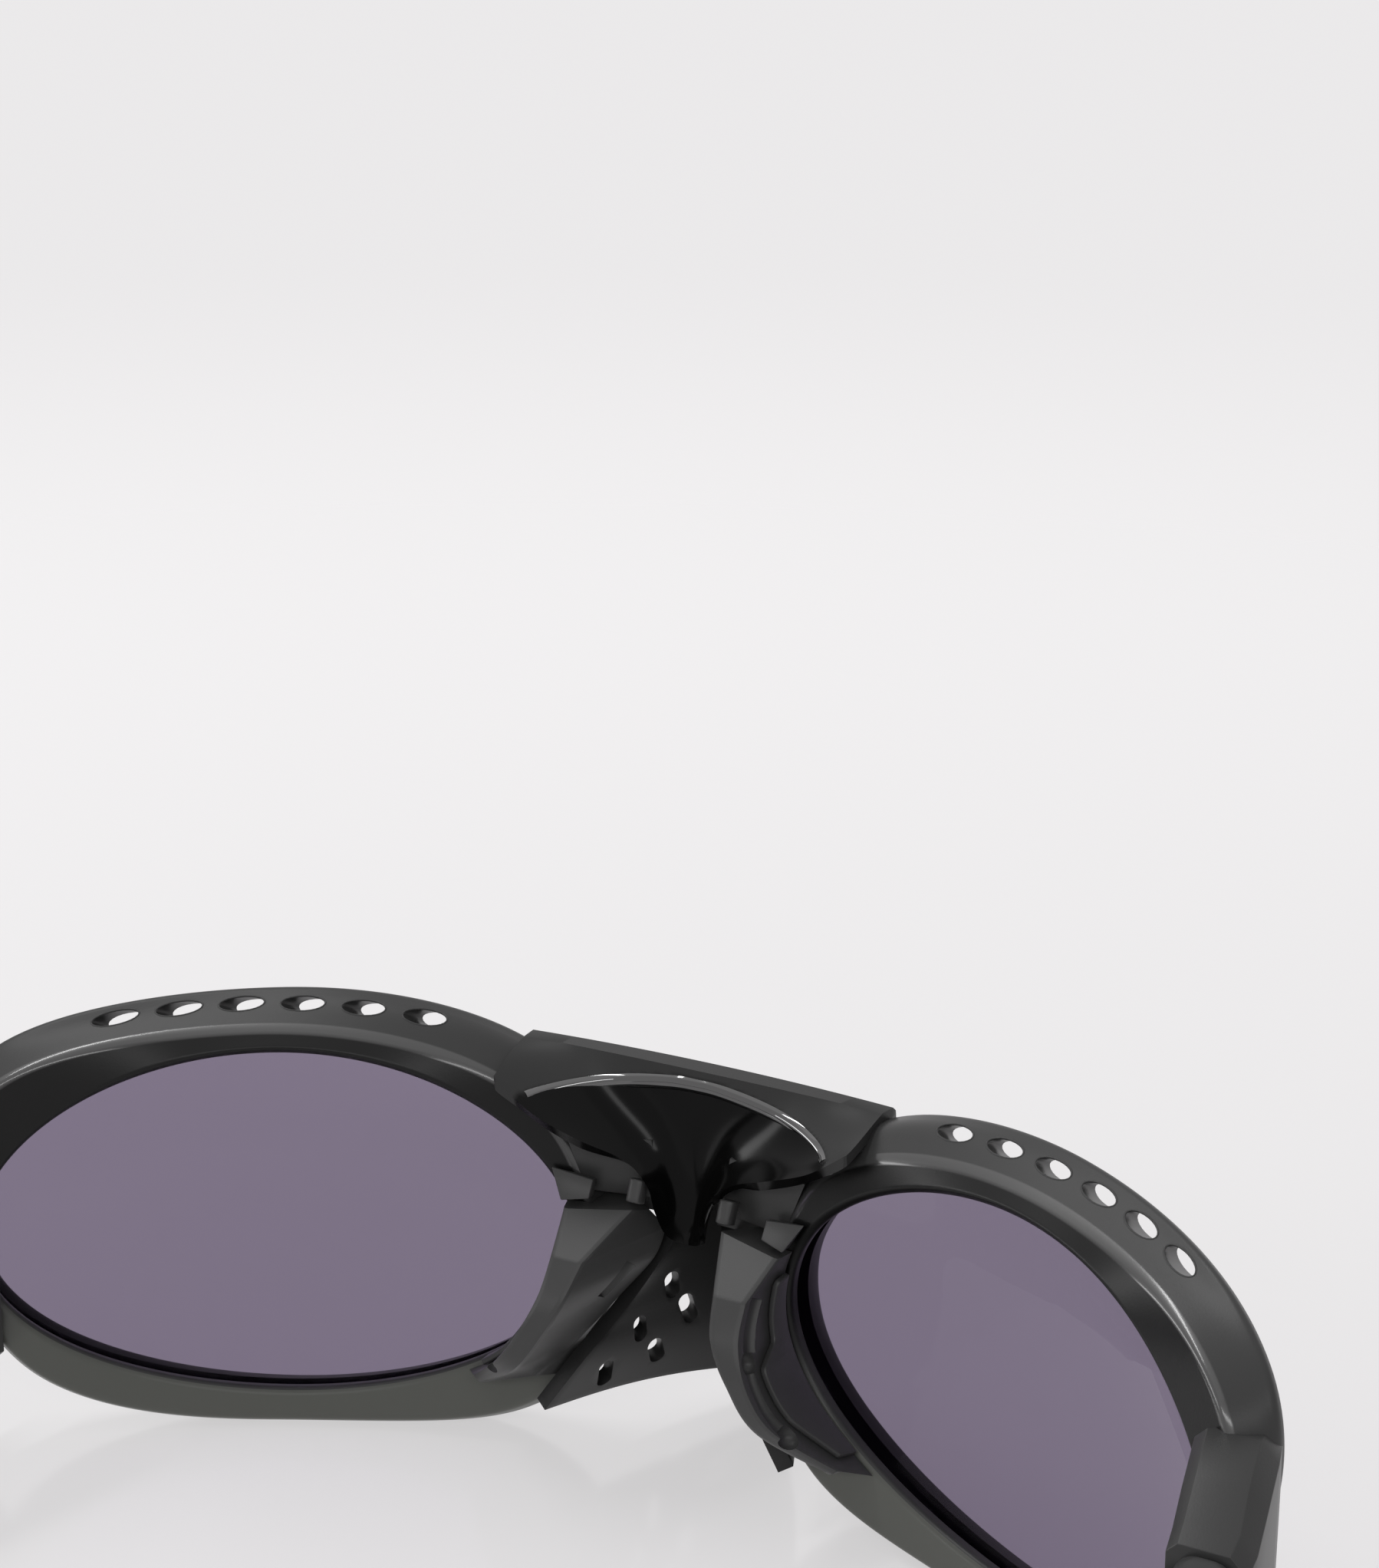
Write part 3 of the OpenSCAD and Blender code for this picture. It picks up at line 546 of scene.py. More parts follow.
# Two lofts that close the front between its rims and the bridge: heights, and corners at each height
WEB = ((0.332, ((0.26, -3.4), (0.26, -1.7), (0.9, -0.1), (0.87, -3.3))),
       (0.66, ((0.36, -3.4), (0.36, -1.4), (1.1, 0.2), (1.05, -3.2))))
FIN_CORNERS = ((0.21, -3.4), (0.21, -2.1), (0.86, -1.8), (0.86, -3.3))
FIN = ((0.24, FIN_CORNERS), (0.36, FIN_CORNERS))


class SUNGLASSES_OT_rims(bpy.types.Operator):
    """Rims with their brow bands, vent holes and endpieces"""
    bl_idname = "sunglasses.rims"
    bl_label = "Rims"

    def execute(self, context):
        looks = context.scene.sunglasses_finish
        sizes = context.scene.sunglasses_sizes
        satin = moulded("satin_frame", looks.frame_level, looks.frame_roughness, wall=looks.painted_wall_shade_level)
        STORE["satin"] = satin
        n = sizes.rim_stations
        rings = [rounded(rim_ring(360 * i / n)) for i in range(n)]
        # Masks of painted shade on the walls, strongest over the brow, of the polished crease, and of painted
        # light on the underside near the bottom
        masks = {"wall": [], "edge": [], "under": []}
        for i, row in enumerate(rings):
            brow = share(sind(360 * i / n) * 3 + 1.2)
            low = share(-sind(360 * i / n) * 4 - 1.2)
            for j in range(len(row)):
                masks["wall"].append(brow if j in WALL_SHADE_POINTS else 0.0)
                masks["edge"].append(brow if j in CREASE_POINTS else 0.0)
                masks["under"].append(low if j in UNDER_LIGHT_POINTS else 0.0)
        oval = [(sizes.vent_width / 2 * cosd(15 * j), sizes.vent_height / 2 * sind(15 * j)) for j in range(24)]
        parts = []
        for name, side in SIDES:
            rim = loft("rim_" + name, rings, side, ring=True, masks=masks)
            tree = BVHTree.FromObject(rim, bpy.context.evaluated_depsgraph_get())
            beads = []
            for i in range(VENTS):
                edge = self.on_band(tree, oval, i, side)
                if len(edge) == len(oval):
                    beads.append(tube("vent_edge", edge, 0.1, side, 8, ring=True))
            holes = [prism("hole", oval, vent_place(i), vent_axes(i), 16, side) for i in range(VENTS)]
            cut(rim, holes + [block("below", (0, -30, -20), (90, 60, 0), side)])
            web, fin = ([[at_nose((x, y, z)) for x, y in row] for z, row in rows] for rows in (WEB, FIN))
            parts += [rim] + beads + [self.endpiece(name, side), loft("web", web, side), loft("fin", fin, side)]
        core = loft("bridge_core", [row[:9] for row in cover_rows(1.2)], sharp=30)
        whole = join("front_rims", parts + [core])
        finished(whole, satin, "front", "frame_plastic", "front_frame")
        return {"FINISHED"}

    def on_band(self, tree, oval, i, side):
        """Outline of vent hole i where it meets the brow band."""
        p, (width, rise, forward) = vent_place(i), vent_axes(i)
        edge = []
        for u, v in oval:
            q = p + width * u + rise * v
            start = Vector(place(q - forward * 12, side))
            heading = Vector((forward[0] * side, forward[1], forward[2]))
            hit = tree.ray_cast(start, heading)[0]
            if hit:
                edge.append(np.array([side * hit.x, hit.y, hit.z]) / MM + (0, BACK, 0) + forward * 0.05)
        return edge

    def endpiece(self, name, side):
        """Block at a rim's temple end, with a pocket for the hinge."""
        xo = ARM_IN + ARM_T
        rings = [end_ring(END_Y - END_L, END_X + 1, END_X + 3.4, END_LO - 1, END_HI + 3.4, 0.7),
                 end_ring(END_Y - 0.78 * END_L, END_X - 2.8, END_X + 4.2, END_LO - 0.8, END_HI + 3.8, 1),
                 end_ring(END_Y - 0.45 * END_L, END_X - 2, xo - 0.8, END_LO - 0.4, END_HI + 2, 1),
                 end_ring(END_Y - 0.17 * END_L, END_X - 1.2, xo - 0.1, END_LO, END_HI + 0.6, 0.9),
                 end_ring(END_Y, END_X - 0.8, xo, END_LO + 0.3, END_HI, 0.9)]
        piece = loft("endpiece_" + name, rings, side)
        pocket = block("pocket", (PIN[0] + 0.3, END_Y - 5.5, BARREL_LO - 0.6),
                       (PIN[0] + 4.8, END_Y + 1, BARREL_LO + 12.9), side)
        cut(piece, [pocket, barrel_room(side)])
        soften(piece, 0.3)
        return piece


# The cover's lip from the middle of the bridge to its end, and the share of the way at each key
LIP = ((0, -1, 0.115), (0.15, 0, 0.17), (0.205, 1.2, 0.33), (0.29, 1, 0.47), (0.5, 1, 0.585),
       (0.85, 2.9, 0.705), (1.25, 3.4, 0.815), (COVER_W / 2 / HALF_GAP * 0.968, 3.3, 0.97))
LIP_TURN = (0, 0.1, 0.2, 0.32, 0.46, 0.64, 0.82, 1)


def lip_at(s):
    """Point of the lip at share s from the middle to the end."""
    last = len(LIP) - 1
    i = max(k for k in range(last) if s >= LIP_TURN[k])
    f = (s - LIP_TURN[i]) / (LIP_TURN[i + 1] - LIP_TURN[i])
    k = [np.array(LIP[j], float) for j in (max(i - 1, 0), i, i + 1, min(i + 2, last))]
    return spline(*k, f)


def cover_profile(s, steps=7):
    """One section of the bridge cover, from its front lower edge over the top to its lip."""
    b = at_nose(lip_at(s))
    x = s * COVER_W / 2
    drop = 1 - s * s
    front = at_nose((0, 0, lerp(0.93, 0.5, drop)))[2]
    top = at_nose((0, 0, 1.044 + 0.02 * drop))[2]
    f0 = np.array([lerp(x, b[0], 0.35), lerp(-6.2, -8.9, drop), front])
    t0 = np.array([x, -5.6 - 0.25 * drop, top])
    t1 = np.array([x * 0.99, -3.2 + 0.3 * drop, top + 0.15])
    m0 = np.array([lerp(x, b[0], 0.3), lerp(0.2, -3.2, drop), lerp(top - 0.3, b[2], 0.28 * drop)])
    m1 = np.array([lerp(x, b[0], 0.75), lerp(2.2, -3.4, drop), lerp(top - 0.8, b[2], 0.72)])
    row = [f0, lerp(f0, t0, 0.5), t0 - (0, 0, 0.5), t0 + (0, 0.6, 0), t1]
    for k in range(1, steps + 1):
        f = k / steps
        g = 1 - f
        row.append(g ** 3 * t1 + 3 * g * g * f * m0 + 3 * g * f * f * m1 + f ** 3 * b)
    return row


def inset(row, d):
    """A row of points moved d millimetres inwards."""
    moved = []
    for i, p in enumerate(row):
        v = row[min(i + 1, len(row) - 1)] - row[max(i - 1, 0)]
        w = np.array([0, v[2], -v[1]])
        moved.append(p + w / max(np.linalg.norm(w), 0.01) * d)
    return moved


def cover_rows(d, n=16, steps=7):
    """Sections of the cover from its right end to its left one, moved d millimetres inwards."""
    rows = []
    for i in range(-n, n + 1):
        row = inset(cover_profile(abs(i) / n, steps), d)
        rows.append([np.array([-p[0] if i < 0 else p[0], p[1], p[2]]) for p in row])
    return rows


# The line where the cover's top turns down into the saddle: its height at the middle and its fall
TURN_Z = 39.4
TURN_FALL = 0.19
# The polished bar along that line: its radius, how far it is let in, and its half length in sections
TURN_BAR = 0.85
TURN_SINK = np.array((0, 0.41, 0.66))
TURN_HALF = 42


class SUNGLASSES_OT_cover(bpy.types.Operator):
    """Gloss saddle cover over the bridge, with satin edges and a painted reflection on its top"""
    bl_idname = "sunglasses.cover"
    bl_label = "Bridge cover"

    def execute(self, context):
        looks = context.scene.sunglasses_finish
        n, steps = 48, 28
        outer = self.relaxed(cover_rows(0, n, steps))
        inner = [inset(row, 1.1) for row in outer]
        m, k = len(outer), len(outer[0])
        # Satin grey on the front band and the end strips, and satin grey as a painted reflection of the light
        # from above on the gloss top as far as the turn line
        satin_and_sheen = []
        for i, row in enumerate(outer):
            s = abs(i - n) / n
            for j, p in enumerate(row):
                satin_and_sheen.append(1.0 if j < 4 or s > 0.875 else share(self.over_turn(p) / 0.3 + 0.5))
        points = [p for row in outer + inner for p in row]
        piece = mesh_piece("saddle_cover", points, sheet_faces(m, k), masks={"satin": satin_and_sheen * 2})
        turn = self.turn_line(outer, n, k)
        finish = Finish("gloss_and_satin", Specular_IOR_Level=0.1, IOR=1.5)
        # The mask carries the satin band and the painted reflection on the gloss top
        satin = finish.mask("satin")
        finish.set("Base Color", finish.mix(satin, grey(looks.gloss_level), grey(looks.frame_level)))
        finish.set("Roughness", 0.15 + 0.25 * satin)
        finish.bump(finish.noise(GRAIN, 1) * satin, 0.00001)
        finished(piece, finish.material, "front", "gloss_plastic", "bridge_cover")
        polished = Finish("polished_turn", Base_Color=grey(looks.gloss_level), Roughness=0.06,
                          Specular_IOR_Level=1.0, IOR=1.5, Coat_Weight=1.0)
        finished(tube("saddle_turn", turn, TURN_BAR, 1, 32), polished.material, "front", "gloss_plastic")
        return {"FINISHED"}

    def turn_line(self, rows, middle, count):
        """Middle of the polished bar, which sinks into the cover at its ends and at the middle."""
        line = []
        for i, row in enumerate(rows[middle - TURN_HALF:middle + TURN_HALF + 1], -TURN_HALF):
            over = [self.over_turn(p) for p in row]
            j = next(j for j in range(4, count) if over[j] < 0)
            at = lerp(row[j - 1], row[j], over[j - 1] / (over[j - 1] - over[j]))
            sunk = 1 + 0.16 * abs(i / TURN_HALF) ** 4 + 0.14 * math.exp(-(i / 4) ** 2)
            line.append(at - TURN_SINK * sunk)
        return line

    def over_turn(self, p):
        """Height of a point over the line where the cover's top turns down into the saddle."""
        return p[2] - TURN_Z + TURN_FALL * math.hypot(p[0], 3)

    def relaxed(self, rows):
        """The saddle's rows with their small waves evened out, and their edges kept."""
        grid = np.array(rows)
        for _ in range(40):
            middle = (grid[:-2, 5:-1] + grid[2:, 5:-1] + grid[1:-1, 4:-2] + grid[1:-1, 6:]) / 4
            grid[1:-1, 5:-1] = lerp(grid[1:-1, 5:-1], middle, 0.6)
        return list(grid)


class SUNGLASSES_OT_lenses(bpy.types.Operator):
    """Tinted lenses"""
    bl_idname = "sunglasses.lenses"
    bl_label = "Lenses"

    def execute(self, context):
        looks = context.scene.sunglasses_finish
        finish = Finish("tinted_lens", Base_Color=(*looks.lens_tint, 1), Roughness=0.0, IOR=1.12,
                        Transmission_Weight=1.0)
        shadow = finish.node("ShaderNodeLightPath", output=1)
        clear = finish.node("ShaderNodeBsdfTransparent", None, {"Color": (*looks.lens_tint, 1)})
        glass = Wire(finish, finish.shader.outputs[0])
        both = finish.node("ShaderNodeMixShader", None, {0: shadow, 1: glass, 2: clear})
        end = next(n for n in finish.tree.nodes if n.type == "OUTPUT_MATERIAL")
        finish.put(end.inputs["Surface"], both)
        layers = [(LENS_R, f) for f in (0.06, 0.2, 0.35, 0.5, 0.65, 0.8, 0.92)]
        layers += [(LENS_R, 1), (LENS_R + LENS_T, 1)] + [(LENS_R + LENS_T, f) for _, f in reversed(layers)]
        rings = []
        sides = 144
        for r, f in layers:
            ring = []
            for j in range(sides):
                t = 360 / sides * j
                off = GROOVE * around(EDGE_SHARE, t) / r * DEG
                w = (LENS_OUT if cosd(t) > 0 else LENS_IN) + off
                ring.append(on_lens(LENS_MID + w * cosd(t) * f, (LENS_UP + off) * sind(t) * f, r))
            rings.append(ring)
        for name, side in SIDES:
            lens = loft("tinted_" + name, rings, side)
            finished(lens, finish.material, "front", "lens_tint", "lens_" + name)
        return {"FINISHED"}


# The nose shield's ridge and the edge of its wing, from the top down
RIDGE = ((0, -8.6, 0.46), (0, -12.5, -0.1), (0, -16.6, -0.7), (0, -REACH, -1.01))
SHIELD_EDGE = ((0.3, -3.9, 0.13), (0.6, -2.8, -0.21), (0.75, -0.2, -0.39), (0.88, 3, -0.54), (1.19, 4, -0.85))


SHIELD_T = 1.5
# The direction out of a wing, and its slots: a round end, at shares from the ridge and from the top
WING_OUT = (0.797, -0.435, 0.42)
SLOTS = ((0.64, 0.39), (0.76, 0.61), (0.81, 0.86), (0.5, 0.55), (0.61, 0.79))
SLOT_RUN = (0.045, -0.085)
SLOT_R = 0.8


def wing_at(s, w):
    """Point of the nose shield at share s from its ridge to a back edge, and w from top to bottom."""
    r = at_nose(along(RIDGE, w))
    e = at_nose(along(SHIELD_EDGE, w))
    a = abs(s)
    g = min(math.sqrt(a * a + 0.006) - 0.0775 * (1 - a), 1)
    p = lerp(r, e, g)
    b = 1.2 * sind(180 * g) * (0.35 + 0.65 * w)
    return np.array([math.copysign(p[0] + 0.8 * b, s) if s else 0.0, p[1] - 0.43 * b, p[2] + 0.42 * b])


class SUNGLASSES_OT_shield(bpy.types.Operator):
    """Perforated shield over the nose"""
    bl_idname = "sunglasses.shield"
    bl_label = "Nose shield"

    def execute(self, context):
        looks = context.scene.sunglasses_finish
        m, n = 24, 24
        front, back = [], []
        for i in range(m + 1):
            row, behind = [], []
            for j in range(-n, n + 1):
                s = j / n
                p = wing_at(s, i / m)
                lean = WING_OUT[0] * min(1, abs(s) * 5)
                normal = np.array([lean * math.copysign(1, s), -math.sqrt(1 - lean ** 2) * 0.72, WING_OUT[2]])
                row.append(p)
                behind.append(p - normal * SHIELD_T)
            front.append(row)
            back.append(behind)
        points = [p for row in front + back for p in row]
        piece = mesh_piece("shield_over_nose", points, sheet_faces(m + 1, 2 * n + 1))
        cutters = []
        normal = np.array(WING_OUT)
        normal /= np.linalg.norm(normal)
        for s, w in SLOTS:
            p, q = wing_at(s, w), wing_at(s + SLOT_RUN[0], w + SLOT_RUN[1])
            run = (q - p) / np.linalg.norm(q - p)
            half = np.linalg.norm(q - p) / 2
            across = np.cross(normal, run)
            oval = [(half * math.copysign(1, cosd(a)) + SLOT_R * cosd(a), SLOT_R * sind(a))
                    for a in (7.5 + 15 * k for k in range(24))]
            for side in (1, -1):
                cutters.append(prism("hole", oval, p, (run, across, normal), 5, side))
        cut(piece, cutters)
        soften(piece, 0.22)
        shell = moulded("satin_shield", looks.shield_level, 0.38)
        finished(piece, shell, "front", "shield_plastic", "nose_shield")
        return {"FINISHED"}


def bar(name, spine, half, steps, sides, side, power):
    """A bar with rounded corners along a curved spine near the nose."""
    rings = []
    for i in range(steps + 1):
        f = i / steps
        c, h = at_nose(along(spine, f)), along(half, f)
        d = at_nose(along(spine, min(f + 0.04, 1))) - at_nose(along(spine, max(f - 0.04, 0)))
        t = d / np.linalg.norm(d)
        s = np.cross((0, 1, 0), t)
        s /= np.linalg.norm(s)
        u = np.cross(t, s)
        ring = []
        for j in range(sides):
            a = 360 * (j + 0.5) / sides
            q = (abs(cosd(a)) ** power + abs(sind(a)) ** power) ** (-1 / power)
            ring.append(c + s * h[0] * q * cosd(a) + u * h[1] * q * sind(a))
        rings.append(ring)
    return loft(name, rings, side)


# Ridges of a nose pad on the lens side and the nose side, and its edge along the shield, from the top down
PAD_OUTER = ((0.98, 2.8, 0.28), (0.893, 7.1, 0.124), (0.92, 9.1, -0.06), (1.06, 10.4, -0.27), (1.28, 10, -0.47),
             (1.68, 6.4, -0.72))
PAD_INNER = ((0.4, 1.4, 0.32), (0.593, 7.1, 0.124), (0.67, 9.4, -0.06), (0.84, 10.1, -0.27), (1.11, 9.9, -0.51),
             (1.62, 6.4, -0.76))
PAD_FRONT = ((0.38, -1.6, 0.25), (0.29, -3, 0.13), (0.38, -2.6, -0.05), (0.63, -1.4, -0.27), (0.87, 2.6, -0.49),
             (1.15, 4.6, -0.69))
PAD_BREAK = 0.2


def pad_key(keys, f):
    """Place along one ridge of a pad, which is straight down to its break and curved below."""
    if f < PAD_BREAK:
        return at_nose(lerp(np.array(keys[0], float), np.array(keys[1], float), f / PAD_BREAK))
    return at_nose(along(keys[1:], (f - PAD_BREAK) / (1 - PAD_BREAK)))


def pad_ring(f):
    """Corners of a pad's section: on the rim, over the two ridges, to the shield, and back along the rim."""
    t, u, k = 164 + 36 * f + 32 * f * f, 166 + 48 * f, min(max(5 * f - 3, 0), 0.98)
    b = rim_edge(u, around(CREASE_OFF, u) + 0.25, LENS_R + around(CREASE_R, u) - 0.25)
    w = rim_edge(u, around(UNDER_OFF, u) + 0.2, LENS_R + around(UNDER_R, u))
    a = lens_edge(t, around(BEVEL_OFF, t) + SEAT, LENS_R - 1.5 * around(LIP_SHARE, t) - SEAT)
    return [a, pad_key(PAD_OUTER, f), pad_key(PAD_INNER, f), pad_key(PAD_FRONT, f), lerp(w, b, k), b]


def flank(f, u, inner=False):
    """Point on a flank of the pad at share u from its foot to its ridge, and the direction out of it."""
    row, low = pad_ring(f), pad_ring(f + 0.03)
    i, j = (3, 2) if inner else (0, 1)
    v = np.cross(low[i] - row[i] + low[j] - row[j], row[j] - row[i])
    v = v / np.linalg.norm(v) * (-1 if inner else 1)
    return lerp(row[i], row[j], u), v


def groove(name, ends, radius, side, inner=False, lift=0.0):
    """A round-ended cutter that lies along a flank of the pad."""
    points = []
    for k in range(13):
        f, u = lerp(np.array(ends[0], float), np.array(ends[1], float), k / 12)
        p, n = flank(f, u, inner)
        points.append(p + n * lift)
    return tube(name, points, radius, side, 16)


def ball(name, at, radius, side):
    """A round cutter."""
    rings = []
    for i in range(1, 12):
        r, h = radius * sind(15 * i), radius * cosd(15 * i)
        rings.append([at + np.array([r * cosd(20 * j), r * sind(20 * j), h]) for j in range(18)])
    return loft(name, rings, side)


# How far each corner of a pad's section is rounded, in millimetres
PAD_SOFTNESS = (0.05, 0.45, 0.45, 0.25, 0.1, 0.1)
PAD_SLOT = ((0.5, 0.83), (0.83, 0.86))
# Front and back faces of the four-sided tab, and the line of the clip with half its width
TAB = (((1.155, 1.5, 0.47), (0.79, 0.9, 0.43), (0.785, 1.9, 0.34), (1.01, 2.7, 0.32)),
       ((1.15, 1.3, 0.46), (0.795, 0.2, 0.42), (0.79, 0.7, 0.335), (1.01, 1.2, 0.315)))
CLIP = ((0.412, -0.2, 0.46), (0.412, 0.7, 0.345))
CLIP_HALF = ((0.8, 0.8), (0.8, 0.8))


class SUNGLASSES_OT_pads(bpy.types.Operator):
    """Nose pads with their plates, tabs and clips"""
    bl_idname = "sunglasses.pads"
    bl_label = "Nose pads"

    def execute(self, context):
        looks = context.scene.sunglasses_finish
        pad = moulded("satin_pad", looks.pad_level, 0.36)
        for name, side in SIDES:
            rings = [rounded(list(zip(pad_ring(i / 80), PAD_SOFTNESS)), 2) for i in range(81)]
            piece = loft("pad_" + name, rings, side, sharp=22)
            ends = [flank(f, u)[0] for f, u in PAD_SLOT]
            cutters = [groove("slot", PAD_SLOT, 0.75, side, lift=0.1),
                       groove("hollow", ((0.22, 0.7), (0.46, 0.78)), 1.1, side, lift=0.35),
                       groove("pocket", ((0.36, 0.3), (0.52, 0.42)), 1.0, side, True, 0.2)]
            cutters += [ball("bulb", at, 1.15, side) for at in ends]
            for cutter in cutters:
                cut(piece, [cutter], 30)
            finished(piece, pad, "front", "pad_plastic", "nose_pad_" + name)
            self.plate(name, side, pad)
            piece = loft("tab_" + name, [[at_nose(p) for p in row] for row in TAB], side)
            soften(piece, 0.16)
            finished(piece, pad, "front", "pad_plastic", "pad_tab_" + name)
            piece = bar("clip_" + name, CLIP, CLIP_HALF, 4, 16, side, 4)
            soften(piece, 0.2)
            finished(piece, pad, "front", "pad_plastic", "pad_clip_" + name)
        return {"FINISHED"}

    def plate(self, name, side, pad):
        """The flat plate between a pad's slot and the rim, with a step in its free edge."""
        rows = []
        for i in range(41):
            g = i / 40
            f = lerp(0.16, 0.94, g)
            reach = lerp(0.36, 0.68, share((g - 0.42) * 12)) - 0.12 * max(0, g - 0.8) / 0.2
            p, n = flank(f, 0.06)
            q = flank(f, reach)[0]
            rows.append([p + n * 0.1, q + n * 0.1, q + n * 0.7, p + n * 0.7])
        piece = loft("carrier_" + name, rows, side)
        soften(piece, 0.18)
        finished(piece, pad, "front", "pad_plastic", "pad_plate_" + name)


# The arm's centre line, and half its thickness and height, from the hinge to the tip
ARM_MID = ARM_IN + ARM_T / 2
Z0 = PIN[2]
ARM_LINE = ((ARM_MID, ARM_Y - 0.8, Z0), (ARM_MID + 0.9, ARM_Y + 0.15 * ARM_L, Z0 + 0.6),
            (ARM_MID + 0.8, ARM_Y + 0.32 * ARM_L, Z0 + 1.3), (ARM_MID - 0.8, ARM_Y + 0.5 * ARM_L, Z0 + 1.4),
            (ARM_MID - 3.2, ARM_Y + 0.66 * ARM_L, Z0 - 0.2), (ARM_MID - 6, ARM_Y + 0.79 * ARM_L, Z0 * 0.76),
            (ARM_MID - 9, ARM_Y + 0.9 * ARM_L, Z0 * 0.46), (ARM_MID - 11.4, TIP_Y, EAR_H * 0.29))
ARM_HALF = ((ARM_T / 2, 9.5), (ARM_T / 2 - 0.4, 8.036), (2.4, 6.664), (2.15, 5.586), (2.1, EAR_H * 0.56),
            (2.3, EAR_H * 0.52), (2.6, EAR_H / 2), (2.2, EAR_H * 0.42))
SOCK_FROM = 0.72


def arm_frame(f):
    """Place on the arm's centre line, with its sideways and upward directions."""
    d = along(ARM_LINE, min(f + 0.01, 1)) - along(ARM_LINE, max(f - 0.01, 0))
    t = d / np.linalg.norm(d)
    s = np.cross(t, (0, 0, 1))
    s /= np.linalg.norm(s)
    return along(ARM_LINE, f), s, np.cross(s, t)


def arm_ring(f, shrink=0.0, power=3.4, scale=1.0):
    """Section of the arm at share f, made smaller by millimetres and by a scale."""
    sides = 40
    c, s, u = arm_frame(f)
    h = along(ARM_HALF, f)
    ring = []
    for j in range(sides):
        a = 360 * (j + 0.5) / sides
        q = (abs(cosd(a)) ** power + abs(sind(a)) ** power) ** (-1 / power) * scale
        ring.append(c + s * (h[0] - shrink) * q * cosd(a) + u * (h[1] - shrink) * q * sind(a))
    return ring


class SUNGLASSES_OT_arms(bpy.types.Operator):
    """Folding arms with rubber liners and ear socks"""
    bl_idname = "sunglasses.arms"
    bl_label = "Arms"

    def execute(self, context):
        satin = STORE["satin"]
        rubber = moulded("ear_rubber", 44, 0.62, 2.0)
        for name, side in SIDES:
            body = name + "_temple"
            rings = [arm_ring(SOCK_FROM * i / 60) for i in range(61)]
            rings += [arm_ring(f, 1.1) for f in (SOCK_FROM + 0.0005, SOCK_FROM + 0.02)]
            arm = loft("arm_" + name, rings, side)
            front = block("front", (ARM_IN - 5, ARM_Y - 10, 0), (ARM_IN + 12, ARM_Y, 45), side)
            bed = block("bed", (ARM_IN - 3, PIN[1] - 1, Z0 - 5.1),
                        (PIN[0] + 1.4, PIN[1] + 10.1, Z0 + 5.1), side)
            cut(arm, [front, barrel_room(side), bed])
            soften(arm, 0.3)
            finished(arm, satin, body, "frame_plastic", "temple_arm_" + name)
            fs = [(SOCK_FROM + 0.003, 0.25, 1), (SOCK_FROM + 0.006, 0.04, 1), (SOCK_FROM + 0.012, 0, 1)]
            fs += [(0.74 + 0.21 * i / 16, 0, 1) for i in range(17)]
            fs += [(0.95 + 0.05 * sind(90 * i / 9), 0, cosd(78 * i / 9) ** 0.6) for i in range(1, 10)]
            sock = loft("sock_" + name, [arm_ring(f, g, 3, k) for f, g, k in fs], side, sharp=50)
            finished(sock, rubber, body, "soft_rubber", "ear_sock_" + name)
            liner = loft("liner_" + name, [self.liner_ring(i, 40) for i in range(41)], side, sharp=50)
            finished(liner, rubber, body, "soft_rubber", "temple_liner_" + name)
        return {"FINISHED"}

    def liner_ring(self, i, steps):
        """Section i of the soft liner: a low arch, with its back let into the arm."""
        f = 0.3 + 0.32 * i / steps
        c, s, u = arm_frame(f)
        h = along(ARM_HALF, f)
        x, z = h[0] - 0.02, h[1] * 0.52
        end = min(1, 0.35 + 4 * min(i, steps - i) / steps)
        arch = [c - s * (x + 0.25 * end * cosd(90 * v) ** 0.5) + u * z * v * end
                for v in (k / 8 for k in range(-8, 9))]
        return arch + [c - s * (x - 0.7) + u * z * v * end for v in (0.9, 0, -0.9)]


class SUNGLASSES_OT_hinges(bpy.types.Operator):
    """Finishes of the metal hinge pieces"""
    bl_idname = "sunglasses.hinges"
    bl_label = "Hinges"

    def execute(self, context):
        for kind, level, rough, names in (
                ("stamped_steel", 175, 0.34, ("front_leaf", "temple_leaf", "temple_core")),
                ("polished_screw", 190, 0.16, ("hinge_screw", "leaf_screws"))):
            finish = Finish(kind, Metallic=1.0)
            marks = finish.noise(900, 3)
            finish.set("Base Color", finish.mix(marks, grey(level * 0.9), grey(level)))
            finish.set("Roughness", rough - 0.05 + 0.12 * marks)
            finish.bump(finish.noise(2600, 2), 0.000006)
            for node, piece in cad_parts.items():
                if node.startswith(names):
                    for mount in piece.material_slots:
                        mount.material = finish.material
        return {"FINISHED"}


# The floor gives off part of its light, so that the shadows on it stay pale
FLOOR_SHARE = 0.68
FLOOR_GLOW = 0.7
FLOOR_FADE = (0.25, 0.6)
FLOOR_HALF = 2
ROOM_LIGHT = 0.26
# The photograph's width and focal length in pixels
PHOTO_W = 1798
FOCAL = 4896


